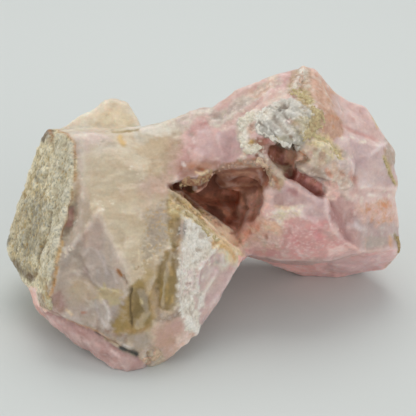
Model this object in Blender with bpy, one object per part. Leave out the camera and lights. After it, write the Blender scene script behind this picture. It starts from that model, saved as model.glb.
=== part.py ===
"""Rough pink opal: one natural stone, modelled at its real size.

Two lobes of opal stand side by side, joined by a bridge, with an open hollow under it.
Coordinates below are in millimetres: +X to the right, +Y to the back, +Z up from the surface it rests on.
"""

import math

import bmesh
import bpy
import numpy as np
from mathutils import Euler, Vector, noise

MM = 0.001

# Size of the grid that fuses the blocks, and the number of triangles kept in the finished stone.
WELD_GRID = 0.7
TRIANGLES = 9400

# Shell-shaped fracture flakes, deepest at the back, and the fine chipping over them.
FLAKE_DEPTH = 1.6
FLAKE_SPACING = 13.0
CHIP_HEIGHT = 0.35
CHIP_LENGTH = 4.5

# How far the sides of a bite wander, as a share of its size.
BITE_UNEVENNESS = 0.28

# Each block is a convex lump, given by the corners where its fracture faces meet.
BLOCKS = {
    # cream and grey opal, with the flat matrix face on its left
    "left_lobe": [
        (-43.5, 10, 47.5), (-42, 12, 47.5), (-34.5, 0, 51.5), (-25.5, 3, 50.5), (-17.5, 6, 50.5),
        (-46, 11, 42.5), (-50.5, 11, 30.5), (-55.5, 6, 16), (-54, 2, 12), (-49, -4, 7),
        (-34.5, -8, 42.5), (-37, -16, 33.5), (-38.5, -21, 26), (-41, -24, 14), (-27, -16, 37.5),
        (-19.5, -24, 26), (-9, -11, 41), (-6, -17, 36), (-7, -25, 26), (-7, -28, 17.5), (-5, -26.5, 5.5),
        (-20.5, -33, 7.5), (-28.5, -29, 8.5), (-11.5, -29.5, 3), (-8.5, -27.5, 2), (-14.5, -31, 1.5),
        (-17.5, -32, 1), (-40, 24, 38), (-18, 26, 40), (-8, 22, 38), (-50, 20, 16), (-40, 24, 6),
        (-14, 24, 8), (-33, 18, -2), (-20, 22, -2), (-19, 12, -2),
    ],
    # pink ledge along the lower front, with the front foot
    "left_ledge": [
        (-40.5, -23, 12.5), (-28.5, -30, 9.5), (-17, -33, 5.5), (-39.5, -20, 5.5), (-30.5, -26.5, 3),
        (-27.5, -29, 2), (-23, -31.5, 0.5), (-20.5, -32.5, 0), (-18, -31.5, 0.5), (-48, -8, 11.5),
        (-48, -9, 8.5), (-47, -11, 7), (-44, -16, 7), (-41, -19, 7), (-44, -14, 11.5), (-21, -31, -2),
        (-14, -29, -2), (-8, -25, -2), (-12, -18, -2), (-22, -20, -2), (-14.5, -30.5, 1),
        (-11.5, -29, 2.5),
    ],
    # chalky face and tan rim that lean to the right
    "right_shoulder": [
        (-6, -17, 36), (-7, -11, 40), (-9, -11, 41), (9, -9, 22.5), (9.5, -9.5, 20), (6, -12, 16),
        (2.5, -15, 12), (1, -17, 9.5), (-1, -18.5, 9), (-2, -20, 6), (-2.5, -21.5, 5.5),
        (-5, -26.5, 5.5), (-6.5, -27, 3.5), (-7, -25, 26), (-20, -5, 36), (-20, -5, 10), (-4, -6, 14),
        (4, -4, 18),
    ],
    # thin wedge standing up behind the left lobe
    "fin": [
        (-39, 12, 47.5), (-38, 13, 49), (-34.5, 14, 51), (-31, 16, 52), (-25.5, 18, 54), (-23, 18, 53),
        (-21, 16, 51), (-19, 15, 49), (-18, 12, 48), (-36, 24, 38), (-20, 26, 38), (-30, 8, 40),
    ],
    # neck that joins the two lobes over the hollow
    "bridge": [
        (-17.5, 5, 50.5), (-13, 6, 51), (-9.5, 6.5, 51.5), (-6.5, 7.5, 53), (-3, 8.5, 54.5),
        (1, 9, 54.5), (-15, -7, 43.5), (-9, -10, 41.5), (-1, -5, 43), (2, 3, 52), (6, 1, 52),
        (2, -5, 43.5), (8, 24, 50), (-14, 24, 42), (10, 6, 42), (-12, 8, 38), (10, 20, 38),
    ],
    # top of the right lobe
    "right_crown": [
        (1, 9, 54.5), (2, 10, 56), (4.5, 11, 57.5), (8, 11.5, 60), (14.5, 12, 61.5), (18.5, 13, 62),
        (23.5, 13, 64), (25.5, 14, 64.5), (27.5, 14, 64), (28.5, 14.5, 62.5), (31, 14, 60),
        (33, 13, 58.5), (34, 11, 57), (35.5, 6.5, 55), (2, 3, 52), (14, 1, 55.5), (19.5, 2, 58),
        (28, 1, 58.5), (34.5, 5, 54.5), (1.5, -4, 43), (9.5, -6, 46), (15.5, -6, 46), (19, -7, 45.5),
        (23.5, -4, 49), (29, -2, 50.5), (34.5, 2, 50.5), (12, 30, 46), (30, 28, 52), (8, 12, 42),
        (6, 24, 48), (34, 18, 44),
    ],
    # lumpy band under the crust
    "right_middle": [
        (15.5, -6, 46), (19, -7.5, 46), (23.5, -5, 49.5), (29, -3.5, 50.5), (35, -3, 48.5),
        (38.5, -2, 43.5), (37.5, -4, 38.5), (30.5, -8, 37), (26, -8, 39.5), (20.5, -7.5, 42.5),
        (17, -6.5, 44), (30, 16, 34), (14, 14, 36), (36, 12, 44),
    ],
    # bulge over the lower ridge
    "right_belly": [
        (12.5, -7, 31.5), (14, -5, 38), (17, -6, 43.5), (20.5, -7, 42), (26, -8, 39), (30, -8.5, 37.5),
        (30.5, -9, 32), (32, -9, 28.5), (35.5, -7.5, 24), (41, -4, 19.5), (34, -5.5, 17.5),
        (25.5, -6.5, 17), (18.5, -6, 17.5), (10, -5, 19), (9, -4, 22.5), (7, -4, 21.5), (8, -3, 18.5),
        (16, -9, 34.5), (24, -10.5, 34.5), (22, -9.5, 25.5), (29, -9.5, 25.5), (16, 12, 14), (10, 8, 16),
        (30, 16, 6), (40, 14, 20), (14, 16, 32),
    ],
    # lower right end, with the right foot
    "right_flank": [
        (34.5, -1.5, 39), (38, -2, 37.5), (39.5, -1.5, 37), (50.5, 5.5, 33), (51.5, 5, 26.5),
        (51.5, 5, 21), (53, 5, 16.5), (53, 6, 12.5), (50, 1, 16.5), (41, -3.5, 19), (36, -5, 23),
        (32.5, -6, 34), (30.5, -5, 35), (45.5, 0, 31), (44.5, -1, 25.5), (52.5, 9, 8), (50.5, 11, 4.5),
        (41.5, 14, 1.5), (36.5, 16, -0.5), (30.5, 15, 0.5), (23, 12.5, 3.5), (16, 9.5, 7.5),
        (10, 5, 12.5), (30, 16, -2), (37, 15.5, -2), (40, 22, -2), (30, 24, -2), (46, 26, 14),
        (44, 28, 34), (14, 28, 14), (48, 16, 40),
    ],
    # pink faces on the upper right
    "right_cheek": [
        (33, 13, 58), (34.5, 13.5, 56.5), (38.5, 14, 55), (43, 14, 52.5), (43.5, 13, 50), (45.5, 12, 47),
        (48, 10.5, 46), (49.5, 9.5, 43), (50, 8.5, 39), (50.5, 7, 36), (51, 5.5, 33), (35.5, 4.5, 52),
        (37.5, 4, 50), (44, 4.5, 47.5), (35.5, 0, 46.5), (43, 2, 45), (46.5, 3, 42), (36, -1, 39),
        (39.5, -1.5, 37), (40, 28, 44), (30, 24, 52), (44, 26, 34), (24, 16, 36),
    ],
    # side of the right lobe, seen through the hollow
    "hollow_side": [
        (8, 4, 24), (22, -2, 44), (10, 6, 45), (20, 16, 46), (8, 16, 20), (22, 10, 20), (20, -3, 32),
    ],
    # stone that closes the hollow at the back
    "back_wall": [
        (-22, 10, 44), (12, 12, 47), (-24, 26, 37), (-8, 25, 41), (14, 27, 48), (-20, 29, 30),
        (16, 31, 34), (-22, 12, 6), (-14, 28, 8), (14, 14, 12), (16, 28, 10), (0, 12, 10),
    ],
    # back of the right lobe
    "right_core": [
        (12, 8, 18), (17, 2, 40), (38, 6, 42), (46, 10, 24), (9, 29, 11), (44, 29, 14), (47, 27, 36),
        (8, 31, 44), (30, 29, 54), (41, 25, 48), (32, 24, 4), (16, 26, 8), (30, 33, 28),
    ],
    # floor of the hollow, behind the rim
    "hollow_floor": [
        (-12, -6, 32), (-12, 10, 30), (-12, -6, 10), (-12, 12, 8), (-4, -9, 20), (4, -8, 20),
        (9, -6, 20), (15, -3, 21), (15, 12, 24), (0, 12, 20), (9, -3, 16), (3, -5, 10), (0, 6, 7),
        (12, 10, 13),
    ],
    # roof that slopes down into the hollow
    "hollow_shelf": [
        (1.5, -2, 41.5), (7, -3.5, 43.5), (14, -4, 44), (15.5, -2, 37.5), (10.5, 2, 32.5), (5, 4, 33.5),
        (1.5, 5, 34.5), (6, 12, 44), (20, 12, 44), (16, 12, 32), (6, 12, 36),
    ],
    # crust that hangs over the mouth of the hollow
    "hanging_crust": [
        (-7.5, -9.5, 43), (-4.5, -9.5, 43.5), (-1, -8, 43.5), (1.5, -6, 44), (-3, -8.5, 38.5),
        (-0.5, -7, 40), (-5, -9, 40), (-2, -5, 37.5), (0, -4, 39), (-7, 2, 44), (1, 3, 43.5),
        (-4, -4, 44),
    ],
    # lower edge of the peach bowl
    "bowl_edge": [
        (29.5, -2, 50), (35.5, -1.5, 48), (36, 3, 50), (34.5, 3.5, 51), (31.5, 1.5, 51), (36, 10, 49),
        (41, 12, 45), (34, 8, 43),
    ],
    # where the tan rim meets the right lobe
    "rim_contact": [
        (5, -9, 20), (9, -9, 22.5), (9.5, -9.5, 20), (10, -7, 21), (10.5, -4, 17.5), (8, -3, 17),
        (5, -3, 24), (13, -2, 19), (10, 2, 24),
    ],
    # flaky crust standing proud of the right lobe
    "crust_flake": [
        (12.5, 0, 52.5), (14, 0, 55.5), (17, 3.5, 58), (21.5, 4, 59), (25, 1, 58), (26, -1, 55),
        (25.5, -3, 52), (14.5, -2, 55), (17.5, 1.5, 58), (21, 2, 59), (24, -0.5, 58), (25, -2.5, 55.5),
        (23, -5.5, 51), (20, -6, 51), (17, -5, 53.5), (19.5, -6, 52.5), (20, 4, 52), (23, 4, 54),
    ],
}


# Ridges (height above 0) and grooves (below 0): the line, the half width and the height.
STROKES = {
    # seam between the grey face and the pink ledge
    "ledge_seam": ([(-40.5, -23, 12), (-34, -26.5, 10), (-28.5, -30, 9), (-22, -32, 7), (-17.5, -33, 5)], 1.5, -1.3),
    # lip of the matrix face
    "matrix_lip": ([(-35, -1, 51), (-34.5, -8, 43.5), (-36.5, -15, 34), (-39, -21, 24), (-41, -24, 15)], 1.6, 0.7),
    # edges of the three-cornered grey face, and the arc across it
    "grey_left": ([(-27, -16, 37.5), (-30.5, -18, 33), (-36, -21.5, 26)], 1.4, 0.3),
    "grey_right": ([(-27, -16, 37.5), (-24, -20, 31.5), (-19.5, -24.5, 25.5)], 1.4, 0.3),
    "grey_arc": ([(-33, -22.5, 24.5), (-28, -24.5, 22.5), (-23, -27, 18.5)], 1.4, -0.5),
    # shelf above the belly
    "belly_shelf": ([(16, -9, 36.5), (20, -9.5, 38), (24, -9.5, 38)], 2.2, -1.0),
    # crisp edge between the belly and the scoop
    "scoop_edge": ([(30.5, -7, 37), (31, -9, 32.5), (32.5, -8.5, 28.5), (35.5, -7, 24), (41, -3.5, 19)], 1.5, 0.7),
    # creases of the upper right faces
    "cheek_crease": ([(35, 5, 51), (39, 5, 49.5), (45, 6, 47.5), (49, 9, 46)], 1.8, -0.8),
    "ridge_line": ([(39, -2, 38), (45, 1, 37), (51, 5, 35)], 1.5, 0.5),
    # vein of small vugs on the crown
    "vug_vein": ([(2, 2, 55), (8, 8, 59), (14, 9, 61)], 1.5, -0.5),
}


def fresh_object(name, mesh):
    made = bpy.data.objects.new(name, mesh)
    bpy.context.scene.collection.objects.link(made)
    return made

# Each bite is a hollow broken out of the stone: centre, half sizes and turn in degrees.
BITES = {
    # conchoidal scoop beside the belly
    "scoop": ((41, -10.5, 30), (5.6, 6.5, 10), (0, -16, 0)),
    # peach hollow under the upper ridge
    "peach_hollow": ((35.5, -3, 50.5), (4.6, 3.6, 4.4), (0, 0, 0)),
    # dark pit under the crust flake
    "crust_pit": ((20.5, -4, 47), (5.2, 8, 4.4), (0, 20, 0)),
    # slanting slot under it
    "slot": ((29, -8.5, 40), (6.8, 6, 2.4), (0, 30, 0)),
    # side of the right lobe, opened by the big hollow
    "hollow_wall": ((10.5, -3, 34.5), (6, 6.5, 6), (0, 0, 0)),
    # groove beside the matrix face
    "matrix_groove": ((-34.8, -15.6, 36.5), (2.4, 2.8, 10), (-36, 16, 0)),
    # olive band, sunk between the grey face and the chalky face
    "olive_band": ((-11.5, -29.2, 24), (4, 3.6, 10), (-10, 12, 0)),
    # broken faces at the back
    "back_left_scoop": ((-38, 37, 28), (15, 14, 17), (0, 0, 0)),
    "back_right_scoop": ((34, 46, 22), (21, 17, 13), (0, 24, 12)),
    "back_crown_scoop": ((22, 44, 52), (16, 17, 11), (20, -10, 0)),
    "back_vug": ((-1, 32, 27), (6.5, 7, 3.6), (0, 28, 0)),
    "back_vug_end": ((-6, 31, 30), (3, 4.5, 3.4), (0, -30, 0)),
}


def block(name, corners):
    """A convex lump of stone with these corners."""
    shape = bmesh.new()
    for corner in corners:
        shape.verts.new(Vector(corner) * MM)
    made = bmesh.ops.convex_hull(shape, input=shape.verts)
    inside = [v for v in made["geom_interior"] if isinstance(v, bmesh.types.BMVert)]
    bmesh.ops.delete(shape, geom=inside, context="VERTS")
    bmesh.ops.recalc_face_normals(shape, faces=shape.faces)
    mesh = bpy.data.meshes.new(name)
    shape.to_mesh(mesh)
    shape.free()
    return fresh_object(name, mesh)


def bite(name, centre, half_sizes, turn):
    """An egg-shaped cutter with uneven sides."""
    shape = bmesh.new()
    bmesh.ops.create_icosphere(shape, subdivisions=4, radius=1.0)
    spin = Euler([math.radians(a) for a in turn]).to_matrix()
    for vert in shape.verts:
        uneven = 1 + BITE_UNEVENNESS * noise.noise(vert.co * 1.7 + Vector(centre))
        stretched = Vector(c * h * uneven for c, h in zip(vert.co, half_sizes))
        vert.co = (spin @ stretched + Vector(centre)) * MM
    mesh = bpy.data.meshes.new(name)
    shape.to_mesh(mesh)
    shape.free()
    cutter = fresh_object(name, mesh)
    cutter.hide_render = True
    cutter.display_type = "WIRE"
    return cutter


def settle(obj):
    """Replace an object's mesh by what its modifiers make of it."""
    graph = bpy.context.evaluated_depsgraph_get()
    graph.update()
    mesh = bpy.data.meshes.new_from_object(obj.evaluated_get(graph), depsgraph=graph)
    obj.modifiers.clear()
    obj.data = mesh


def combine(obj, others, operation):
    for other in others:
        step = obj.modifiers.new(operation.lower() + " " + other.name, "BOOLEAN")
        step.operation = operation
        step.solver = "EXACT"
        step.object = other
    settle(obj)
    for other in others:
        bpy.data.objects.remove(other)


def weld(obj):
    """Fuse everything into one skin on an even grid, then soften the grid's steps."""
    step = obj.modifiers.new("weld", "REMESH")
    step.mode = "VOXEL"
    step.voxel_size = WELD_GRID * MM
    soften = obj.modifiers.new("soften", "SMOOTH")
    soften.factor = 0.5
    soften.iterations = 3
    settle(obj)


def keep_outer_skin(obj):
    """Drop crumbs and sealed pockets: only the largest connected skin stays."""
    shape = bmesh.new()
    shape.from_mesh(obj.data)
    unseen = set(shape.verts)
    skins = []
    while unseen:
        edge_of_search = [unseen.pop()]
        skin = []
        while edge_of_search:
            vert = edge_of_search.pop()
            skin.append(vert)
            for edge in vert.link_edges:
                other = edge.other_vert(vert)
                if other in unseen:
                    unseen.remove(other)
                    edge_of_search.append(other)
        skins.append(skin)
    skins.sort(key=len)
    for skin in skins[:-1]:
        bmesh.ops.delete(shape, geom=skin, context="VERTS")
    shape.to_mesh(obj.data)
    shape.free()


def positions(mesh):
    flat = np.empty(len(mesh.vertices) * 3)
    mesh.vertices.foreach_get("co", flat)
    return flat.reshape(-1, 3) / MM


def directions(mesh):
    flat = np.empty(len(mesh.vertices) * 3)
    mesh.vertices.foreach_get("normal", flat)
    return flat.reshape(-1, 3)


def distance_to_line(points, line):
    """Distance from every point to a line of straight stretches."""
    nearest = np.full(len(points), 1e9)
    for start, end in zip(line[:-1], line[1:]):
        start = np.array(start, float)
        along = np.array(end, float) - start
        share = np.clip((points - start) @ along / (along @ along), 0, 1)
        gap = np.linalg.norm(points - start - share[:, None] * along, axis=1)
        nearest = np.minimum(nearest, gap)
    return nearest


def stroke_heights(points):
    """How far each point is lifted or sunk by the ridges and grooves."""
    heights = np.zeros(len(points))
    for line, half_width, height in STROKES.values():
        gap = distance_to_line(points, line)
        heights += height * np.exp(-((gap / half_width) ** 2))
    return heights


def flake_heights(points):
    """Shallow shell-shaped flakes that meet in ridges, as opal breaks."""
    heights = np.empty(len(points))
    for index, point in enumerate(points):
        place = Vector(point)
        bend = noise.noise(place / 17.0 + Vector((3.1, 7.7, 1.3)))
        near = noise.voronoi(place / FLAKE_SPACING + Vector((bend, -bend, bend)))[0]
        backward = min(max((point[1] - 2.0) / 14.0, 0.0), 1.0)
        flake = FLAKE_DEPTH * (0.3 + 0.7 * backward) * (near[0] - 0.45)
        chip = CHIP_HEIGHT * noise.noise(place / CHIP_LENGTH)
        heights[index] = flake + chip
    return heights


def roughen(obj):
    mesh = obj.data
    points = positions(mesh)
    outward = directions(mesh)
    lift = stroke_heights(points) + flake_heights(points)
    moved = (points + outward * lift[:, None]) * MM
    mesh.vertices.foreach_set("co", moved.ravel())
    mesh.update()


def simplify(obj):
    """Keep the form in flat fracture faces, few enough to stay light."""
    triangles = sum(len(face.vertices) - 2 for face in obj.data.polygons)
    step = obj.modifiers.new("simplify", "DECIMATE")
    step.ratio = TRIANGLES / triangles
    step.use_collapse_triangulate = True
    settle(obj)


def stand(obj):
    """Flatten the three feet at Z = 0 and put the origin under the middle of the stone."""
    shape = bmesh.new()
    shape.from_mesh(obj.data)
    everything = shape.verts[:] + shape.edges[:] + shape.faces[:]
    cut = bmesh.ops.bisect_plane(shape, geom=everything, plane_co=(0, 0, 0), plane_no=(0, 0, 1), clear_inner=True)
    rim = [e for e in cut["geom_cut"] if isinstance(e, bmesh.types.BMEdge)]
    bmesh.ops.triangle_fill(shape, edges=rim, use_beauty=True, use_dissolve=False)
    bmesh.ops.recalc_face_normals(shape, faces=shape.faces)
    for axis in (0, 1):
        reach = [vert.co[axis] for vert in shape.verts]
        middle = (min(reach) + max(reach)) / 2
        for vert in shape.verts:
            vert.co[axis] -= middle
    shape.to_mesh(obj.data)
    shape.free()


def opal_material():
    pink = bpy.data.materials.new("rough pink opal")
    pink.use_nodes = True
    shader = pink.node_tree.nodes["Principled BSDF"]
    shader.inputs["Base Color"].default_value = (0.62, 0.42, 0.36, 1.0)
    shader.inputs["Roughness"].default_value = 0.45
    return pink


def main():
    for old in list(bpy.data.objects):
        bpy.data.objects.remove(old)
    lumps = [block(name, corners) for name, corners in BLOCKS.items()]
    stone = lumps[0]
    combine(stone, lumps[1:], "UNION")
    combine(stone, [bite(name, *sizes) for name, sizes in BITES.items()], "DIFFERENCE")
    stone.name = "rough_pink_opal"
    weld(stone)
    keep_outer_skin(stone)
    roughen(stone)
    simplify(stone)
    stand(stone)
    stone.data.materials.clear()
    stone.data.materials.append(opal_material())


main()
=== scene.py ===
"""Looks of the rough pink opal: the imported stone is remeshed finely, then coloured and sculpted by regions.

The front is drawn in the camera's own view. Each outline or line is a string of "x,y" points, in pixels of a
416 by 416 picture with y downwards, and a point of the skin is in the regions where the camera sees it. The
sides that the camera doesn't see are laid out by places in mm. Lengths are in mm until a mesh is written.
"""

import itertools
import math
from typing import NamedTuple

import bmesh
import bpy
import numpy as np
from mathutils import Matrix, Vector
from mathutils.bvhtree import BVHTree
from mathutils.kdtree import KDTree

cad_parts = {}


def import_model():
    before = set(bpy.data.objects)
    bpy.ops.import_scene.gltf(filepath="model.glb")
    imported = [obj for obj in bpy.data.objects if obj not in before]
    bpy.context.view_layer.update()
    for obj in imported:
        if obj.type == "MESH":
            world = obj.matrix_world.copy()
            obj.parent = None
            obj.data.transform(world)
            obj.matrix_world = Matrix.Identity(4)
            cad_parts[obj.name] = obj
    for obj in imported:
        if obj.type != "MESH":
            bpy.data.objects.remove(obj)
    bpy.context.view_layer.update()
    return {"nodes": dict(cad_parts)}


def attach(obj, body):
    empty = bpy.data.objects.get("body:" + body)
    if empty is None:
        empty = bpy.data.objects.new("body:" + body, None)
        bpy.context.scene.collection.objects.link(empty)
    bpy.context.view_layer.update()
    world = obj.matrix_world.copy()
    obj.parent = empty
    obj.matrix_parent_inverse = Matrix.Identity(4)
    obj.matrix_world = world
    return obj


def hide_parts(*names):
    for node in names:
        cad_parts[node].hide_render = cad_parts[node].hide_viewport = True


MM = 0.001

# Camera: a 100 mm lens on a 36 mm sensor, looking down at the stone from the front.
LENS = 100.0
SENSOR = 36.0
PICTURE = 416
ELEVATION = math.radians(28.0)
DISTANCE = 307.0
TARGET = np.array([1.17, 0.0, 30.0])
PIXELS_PER_SLOPE = PICTURE * LENS / SENSOR
RIGHT = np.array([1.0, 0.0, 0.0])
UP = np.array([0.0, math.sin(ELEVATION), math.cos(ELEVATION)])
BACK = np.array([0.0, -math.cos(ELEVATION), math.sin(ELEVATION)])
EYE = TARGET + BACK * DISTANCE

# Voxels of the stone's skin and of its crusts, and the skin's triangles.
FINE_GRID = 0.44
CRUST_GRID = 0.2
SKIN_TRIANGLES = 192000
# Under the foot's height the skin stays as it is, and everything else stays above the lowest height.
FOOT_HEIGHT = 0.35
LOWEST = 0.02
# How far the front's looks reach past what the camera sees, and the least share that is worked out.
FRONT_REACH = 5.0
LEAST_SHARE = 0.02
# Steps in which a vertex group holds its weights, and rounds of smoothing that edges are set against.
WEIGHT_STEPS = 10
EDGE_ROUNDS = 10
# Brightness of all colours, and the brightest that one may be.
DAYLIGHT = 1.12
BRIGHTEST = 0.95
# How deep a lump of crust is sunk, in radii, and how far it may be stretched.
LUMP_SUNK = 0.3
LUMP_STRETCH = (0.75, 1.3)
# How far marks, folds, pits and sprinkles wander in the picture, in pixels,
# and the soft border of a sprinkled patch.
MARK_WOBBLE = 0.9
FOLD_WOBBLE = 1.0
PIT_WOBBLE = 1.6
SPRINKLE_WOBBLE = 3.0
SPRINKLE_BORDER = 6.0

# Sizes of the noise in mm.
BROAD = 12.0
WIDE = 3.0
SMALL = 1.6
FINE = 0.8
# Farther than any seed or line can be.
FAR_OFF = 1e9


# ---------------------------------------------------------------- noise


def scatter(ix, iy, iz, seed):
    """A repeatable number from 0 to 1 for each cell."""
    mixed = (ix * 73856093) ^ (iy * 19349663) ^ (iz * 83492791) ^ (seed * 2654435761)
    mixed = mixed & 0xFFFFFFFF
    mixed = ((mixed ^ (mixed >> 15)) * 2246822519) & 0xFFFFFFFF
    mixed = ((mixed ^ (mixed >> 13)) * 3266489917) & 0xFFFFFFFF
    return ((mixed ^ (mixed >> 16)) & 0xFFFFFF) / 16777215.0


def cells_around(place, steps):
    """Whole-numbered cells at these steps from the one that each point is in."""
    base = np.floor(place).astype(np.int64)
    for shift in itertools.product(steps, repeat=3):
        yield np.ascontiguousarray((base + shift).T)


def waves(points, size, seed=0):
    """Smooth noise from -1 to 1 with features of about this size."""
    place = points / size
    part = place - np.floor(place)
    ease = part * part * part * (part * (part * 6 - 15) + 10)
    shares = [(1 - ease[:, axis], ease[:, axis]) for axis in range(3)]
    total = np.zeros(len(points))
    corners = itertools.product(*shares)
    for (wx, wy, wz), (ix, iy, iz) in zip(corners, cells_around(place, (0, 1))):
        total += wx * wy * wz * scatter(ix, iy, iz, seed)
    return total * 2 - 1


def layers(points, size, seed=0, count=3, fade=0.55):
    """Several waves on top of each other, each half the size of the last."""
    total = np.zeros(len(points))
    share = 1.0
    whole = 0.0
    for index in range(count):
        total += share * waves(points, size / 2**index, seed + 17 * index)
        whole += share
        share *= fade
    return total / whole


def seeds_around(points, size, seed):
    """Each cell near the points, with how far they lie from the seed scattered in it, in cell sizes."""
    place = points / size
    for ix, iy, iz in cells_around(place, (-1, 0, 1)):
        gap_x = place[:, 0] - ix - scatter(ix, iy, iz, seed)
        gap_y = place[:, 1] - iy - scatter(ix, iy, iz, seed + 1)
        gap_z = place[:, 2] - iz - scatter(ix, iy, iz, seed + 2)
        yield (ix, iy, iz), (gap_x, gap_y, gap_z), np.sqrt(gap_x**2 + gap_y**2 + gap_z**2)


def cells(points, size, seed=0):
    """Distance to the nearest scattered seed, in cell sizes, and a number from 0 to 1 for that seed."""
    near = np.full(len(points), FAR_OFF)
    label = np.zeros(len(points))
    for cell, _, gap in seeds_around(points, size, seed):
        closer = gap < near
        label = np.where(closer, scatter(*cell, seed + 3), label)
        near = np.where(closer, gap, near)
    return near, label


def facets(points, size, seed):
    """Height of a surface broken into small tilted faces, about -1 to 1."""
    near = np.full(len(points), FAR_OFF)
    far = np.full(len(points), FAR_OFF)
    height = np.zeros(len(points))
    next_height = np.zeros(len(points))
    for cell, gaps, gap in seeds_around(points, size, seed):
        leans = [scatter(*cell, seed + shift) * 2 - 1 for shift in (4, 5, 6)]
        tilt = sum(lean * part for lean, part in zip(leans, gaps)) + 0.5 * leans[0]
        closer = gap < near
        second = ~closer & (gap < far)
        next_height = np.where(closer, height, np.where(second, tilt, next_height))
        far = np.where(closer, near, np.where(second, gap, far))
        height = np.where(closer, tilt, height)
        near = np.where(closer, gap, near)
    own = 0.5 + 0.5 * rise(far - near, 0.0, 0.22)
    return height * own + next_height * (1 - own)


def grains(points, size, seed):
    """Height of a surface of rounded grains."""
    near, label = cells(points, size, seed)
    return (0.5 - near) * (0.5 + label)


def weighted(pattern, points, weight, size, seed):
    """A pattern's height times a weight, worked out only where the weight counts."""
    height = np.zeros(len(points))
    where = weight > LEAST_SHARE
    if where.any():
        height[where] = pattern(points[where], size, seed) * weight[where]
    return height


def rise(value, low, high):
    """0 below low, 1 above high, eased between."""
    share = np.clip((value - low) / (high - low), 0.0, 1.0)
    return share * share * (3 - 2 * share)


# ---------------------------------------------------------------- objects and camera


def new_object(name, data):
    """An object in the scene."""
    obj = bpy.data.objects.new(name, data)
    bpy.context.scene.collection.objects.link(obj)
    return obj


def read(mesh, what="co"):
    """Every vertex's place in metres, or its normal."""
    flat = np.empty(len(mesh.vertices) * 3)
    mesh.vertices.foreach_get(what, flat)
    return flat.reshape(-1, 3)


def modify(obj, kind, **settings):
    """Adds a modifier and sets it."""
    modifier = obj.modifiers.new(kind.lower(), kind)
    for name, value in settings.items():
        setattr(modifier, name, value)


def settled(obj):
    """Makes the modifiers' result the object's own mesh."""
    graph = bpy.context.evaluated_depsgraph_get()
    graph.update()
    mesh = bpy.data.meshes.new_from_object(obj.evaluated_get(graph), depsgraph=graph)
    obj.modifiers.clear()
    obj.data = mesh


def weigh(obj, name, weights):
    """Adds a vertex group with these weights."""
    group = obj.vertex_groups.new(name=name)
    steps = np.round(weights * WEIGHT_STEPS).astype(int)
    for step in range(1, WEIGHT_STEPS + 1):
        chosen = np.nonzero(steps == step)[0]
        if len(chosen):
            group.add(chosen.tolist(), step / WEIGHT_STEPS, "REPLACE")


def solid_tree(obj):
    """The object's surface, ready for rays."""
    return BVHTree.FromObject(obj, bpy.context.evaluated_depsgraph_get())


def point_index(places):
    """Numbered places, ready to be searched."""
    index = KDTree(len(places))
    for number, place in places.items():
        index.insert(Vector(place), number)
    index.balance()
    return index


def add_camera():
    lens = bpy.data.cameras.new("camera")
    lens.lens = LENS
    lens.sensor_width = SENSOR
    lens.clip_start = 0.01
    lens.clip_end = 20.0
    camera = new_object("camera", lens)
    camera.location = EYE * MM
    camera.rotation_mode = "XYZ"
    camera.rotation_euler = Vector(-BACK).to_track_quat("-Z", "Y").to_euler()
    bpy.context.scene.camera = camera


def picture_place(points):
    """Where points fall in the camera's picture, in pixels."""
    offset = points - EYE
    slope = PIXELS_PER_SLOPE / -(offset @ BACK)
    return PICTURE / 2 + slope * (offset @ RIGHT), PICTURE / 2 - slope * (offset @ UP)


def camera_hit(tree, x, y):
    """Place and normal of the surface behind a pixel."""
    way = -BACK + RIGHT * (x - PICTURE / 2) / PIXELS_PER_SLOPE - UP * (y - PICTURE / 2) / PIXELS_PER_SLOPE
    hit = tree.ray_cast(Vector(EYE * MM), Vector(way).normalized())
    if hit[0] is None:
        return None
    return np.array(hit[0]) / MM, np.array(hit[1])


def seen_from_camera(points, normals, tree):
    """True for the points that nothing hides from the camera."""
    facing = ((EYE - points) * normals).sum(axis=1) > 0
    seen = np.zeros(len(points), bool)
    start = Vector(EYE * MM)
    short_of_skin = 0.4 * MM
    for index in np.nonzero(facing)[0]:
        way = Vector(points[index] * MM) - start
        hit = tree.ray_cast(start, way / way.length, way.length - short_of_skin)
        seen[index] = hit[0] is None
    return seen


def fine_skin(node):
    """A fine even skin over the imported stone, finest where it faces the camera."""
    skin = new_object("opal_skin", node.data.copy())
    modify(skin, "REMESH", mode="VOXEL", voxel_size=FINE_GRID * MM)
    modify(skin, "SMOOTH", factor=0.5, iterations=7)
    settled(skin)
    toward = EYE - read(skin.data) / MM
    toward /= np.linalg.norm(toward, axis=1)[:, None]
    facing = (toward * read(skin.data, "normal")).sum(axis=1)
    weigh(skin, "far_side", rise(-facing, -0.02, 0.25))
    kept = SKIN_TRIANGLES / sum(len(face.vertices) - 2 for face in skin.data.polygons)
    modify(skin, "DECIMATE", ratio=kept, vertex_group="far_side", vertex_group_factor=0.3)
    settled(skin)
    return skin


# ---------------------------------------------------------------- surfaces and colours

# Each kind of surface: roughness, how much light comes back from under the skin, and how grainy it looks,
# from 0 for a polished face to 1 for sandy rock.
KINDS = {
    "wax": (0.34, 0.75, 0.0),
    "satin": (0.5, 0.55, 0.22),
    "honey": (0.42, 0.3, 0.1),
    "chalk": (0.85, 0.1, 0.5),
    "matrix": (0.9, 0.0, 1.0),
    "grain": (0.75, 0.15, 0.7),
    "rind": (0.6, 0.12, 0.5),
    "deep": (0.55, 0.2, 0.3),
}
# Kinds whose colours run softly into each other, and how soft the patches are in them and in the others.
CLEAR_KINDS = ("wax", "honey")
CLEAR_SOFTNESS = 0.65
SOFTNESS = 0.4

# Directions in which colours run: none, along the stone, up the left end, and down the flake.
WAYS = {
    "even": (0.0, (1.0, 0.0, 0.0)),
    "level": (0.7, (0.995, 0.0, 0.1)),
    "upright": (0.5, (0.15, 0.35, 0.92)),
    "slanted": (0.7, (0.66, -0.3, -0.69)),
}

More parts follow.
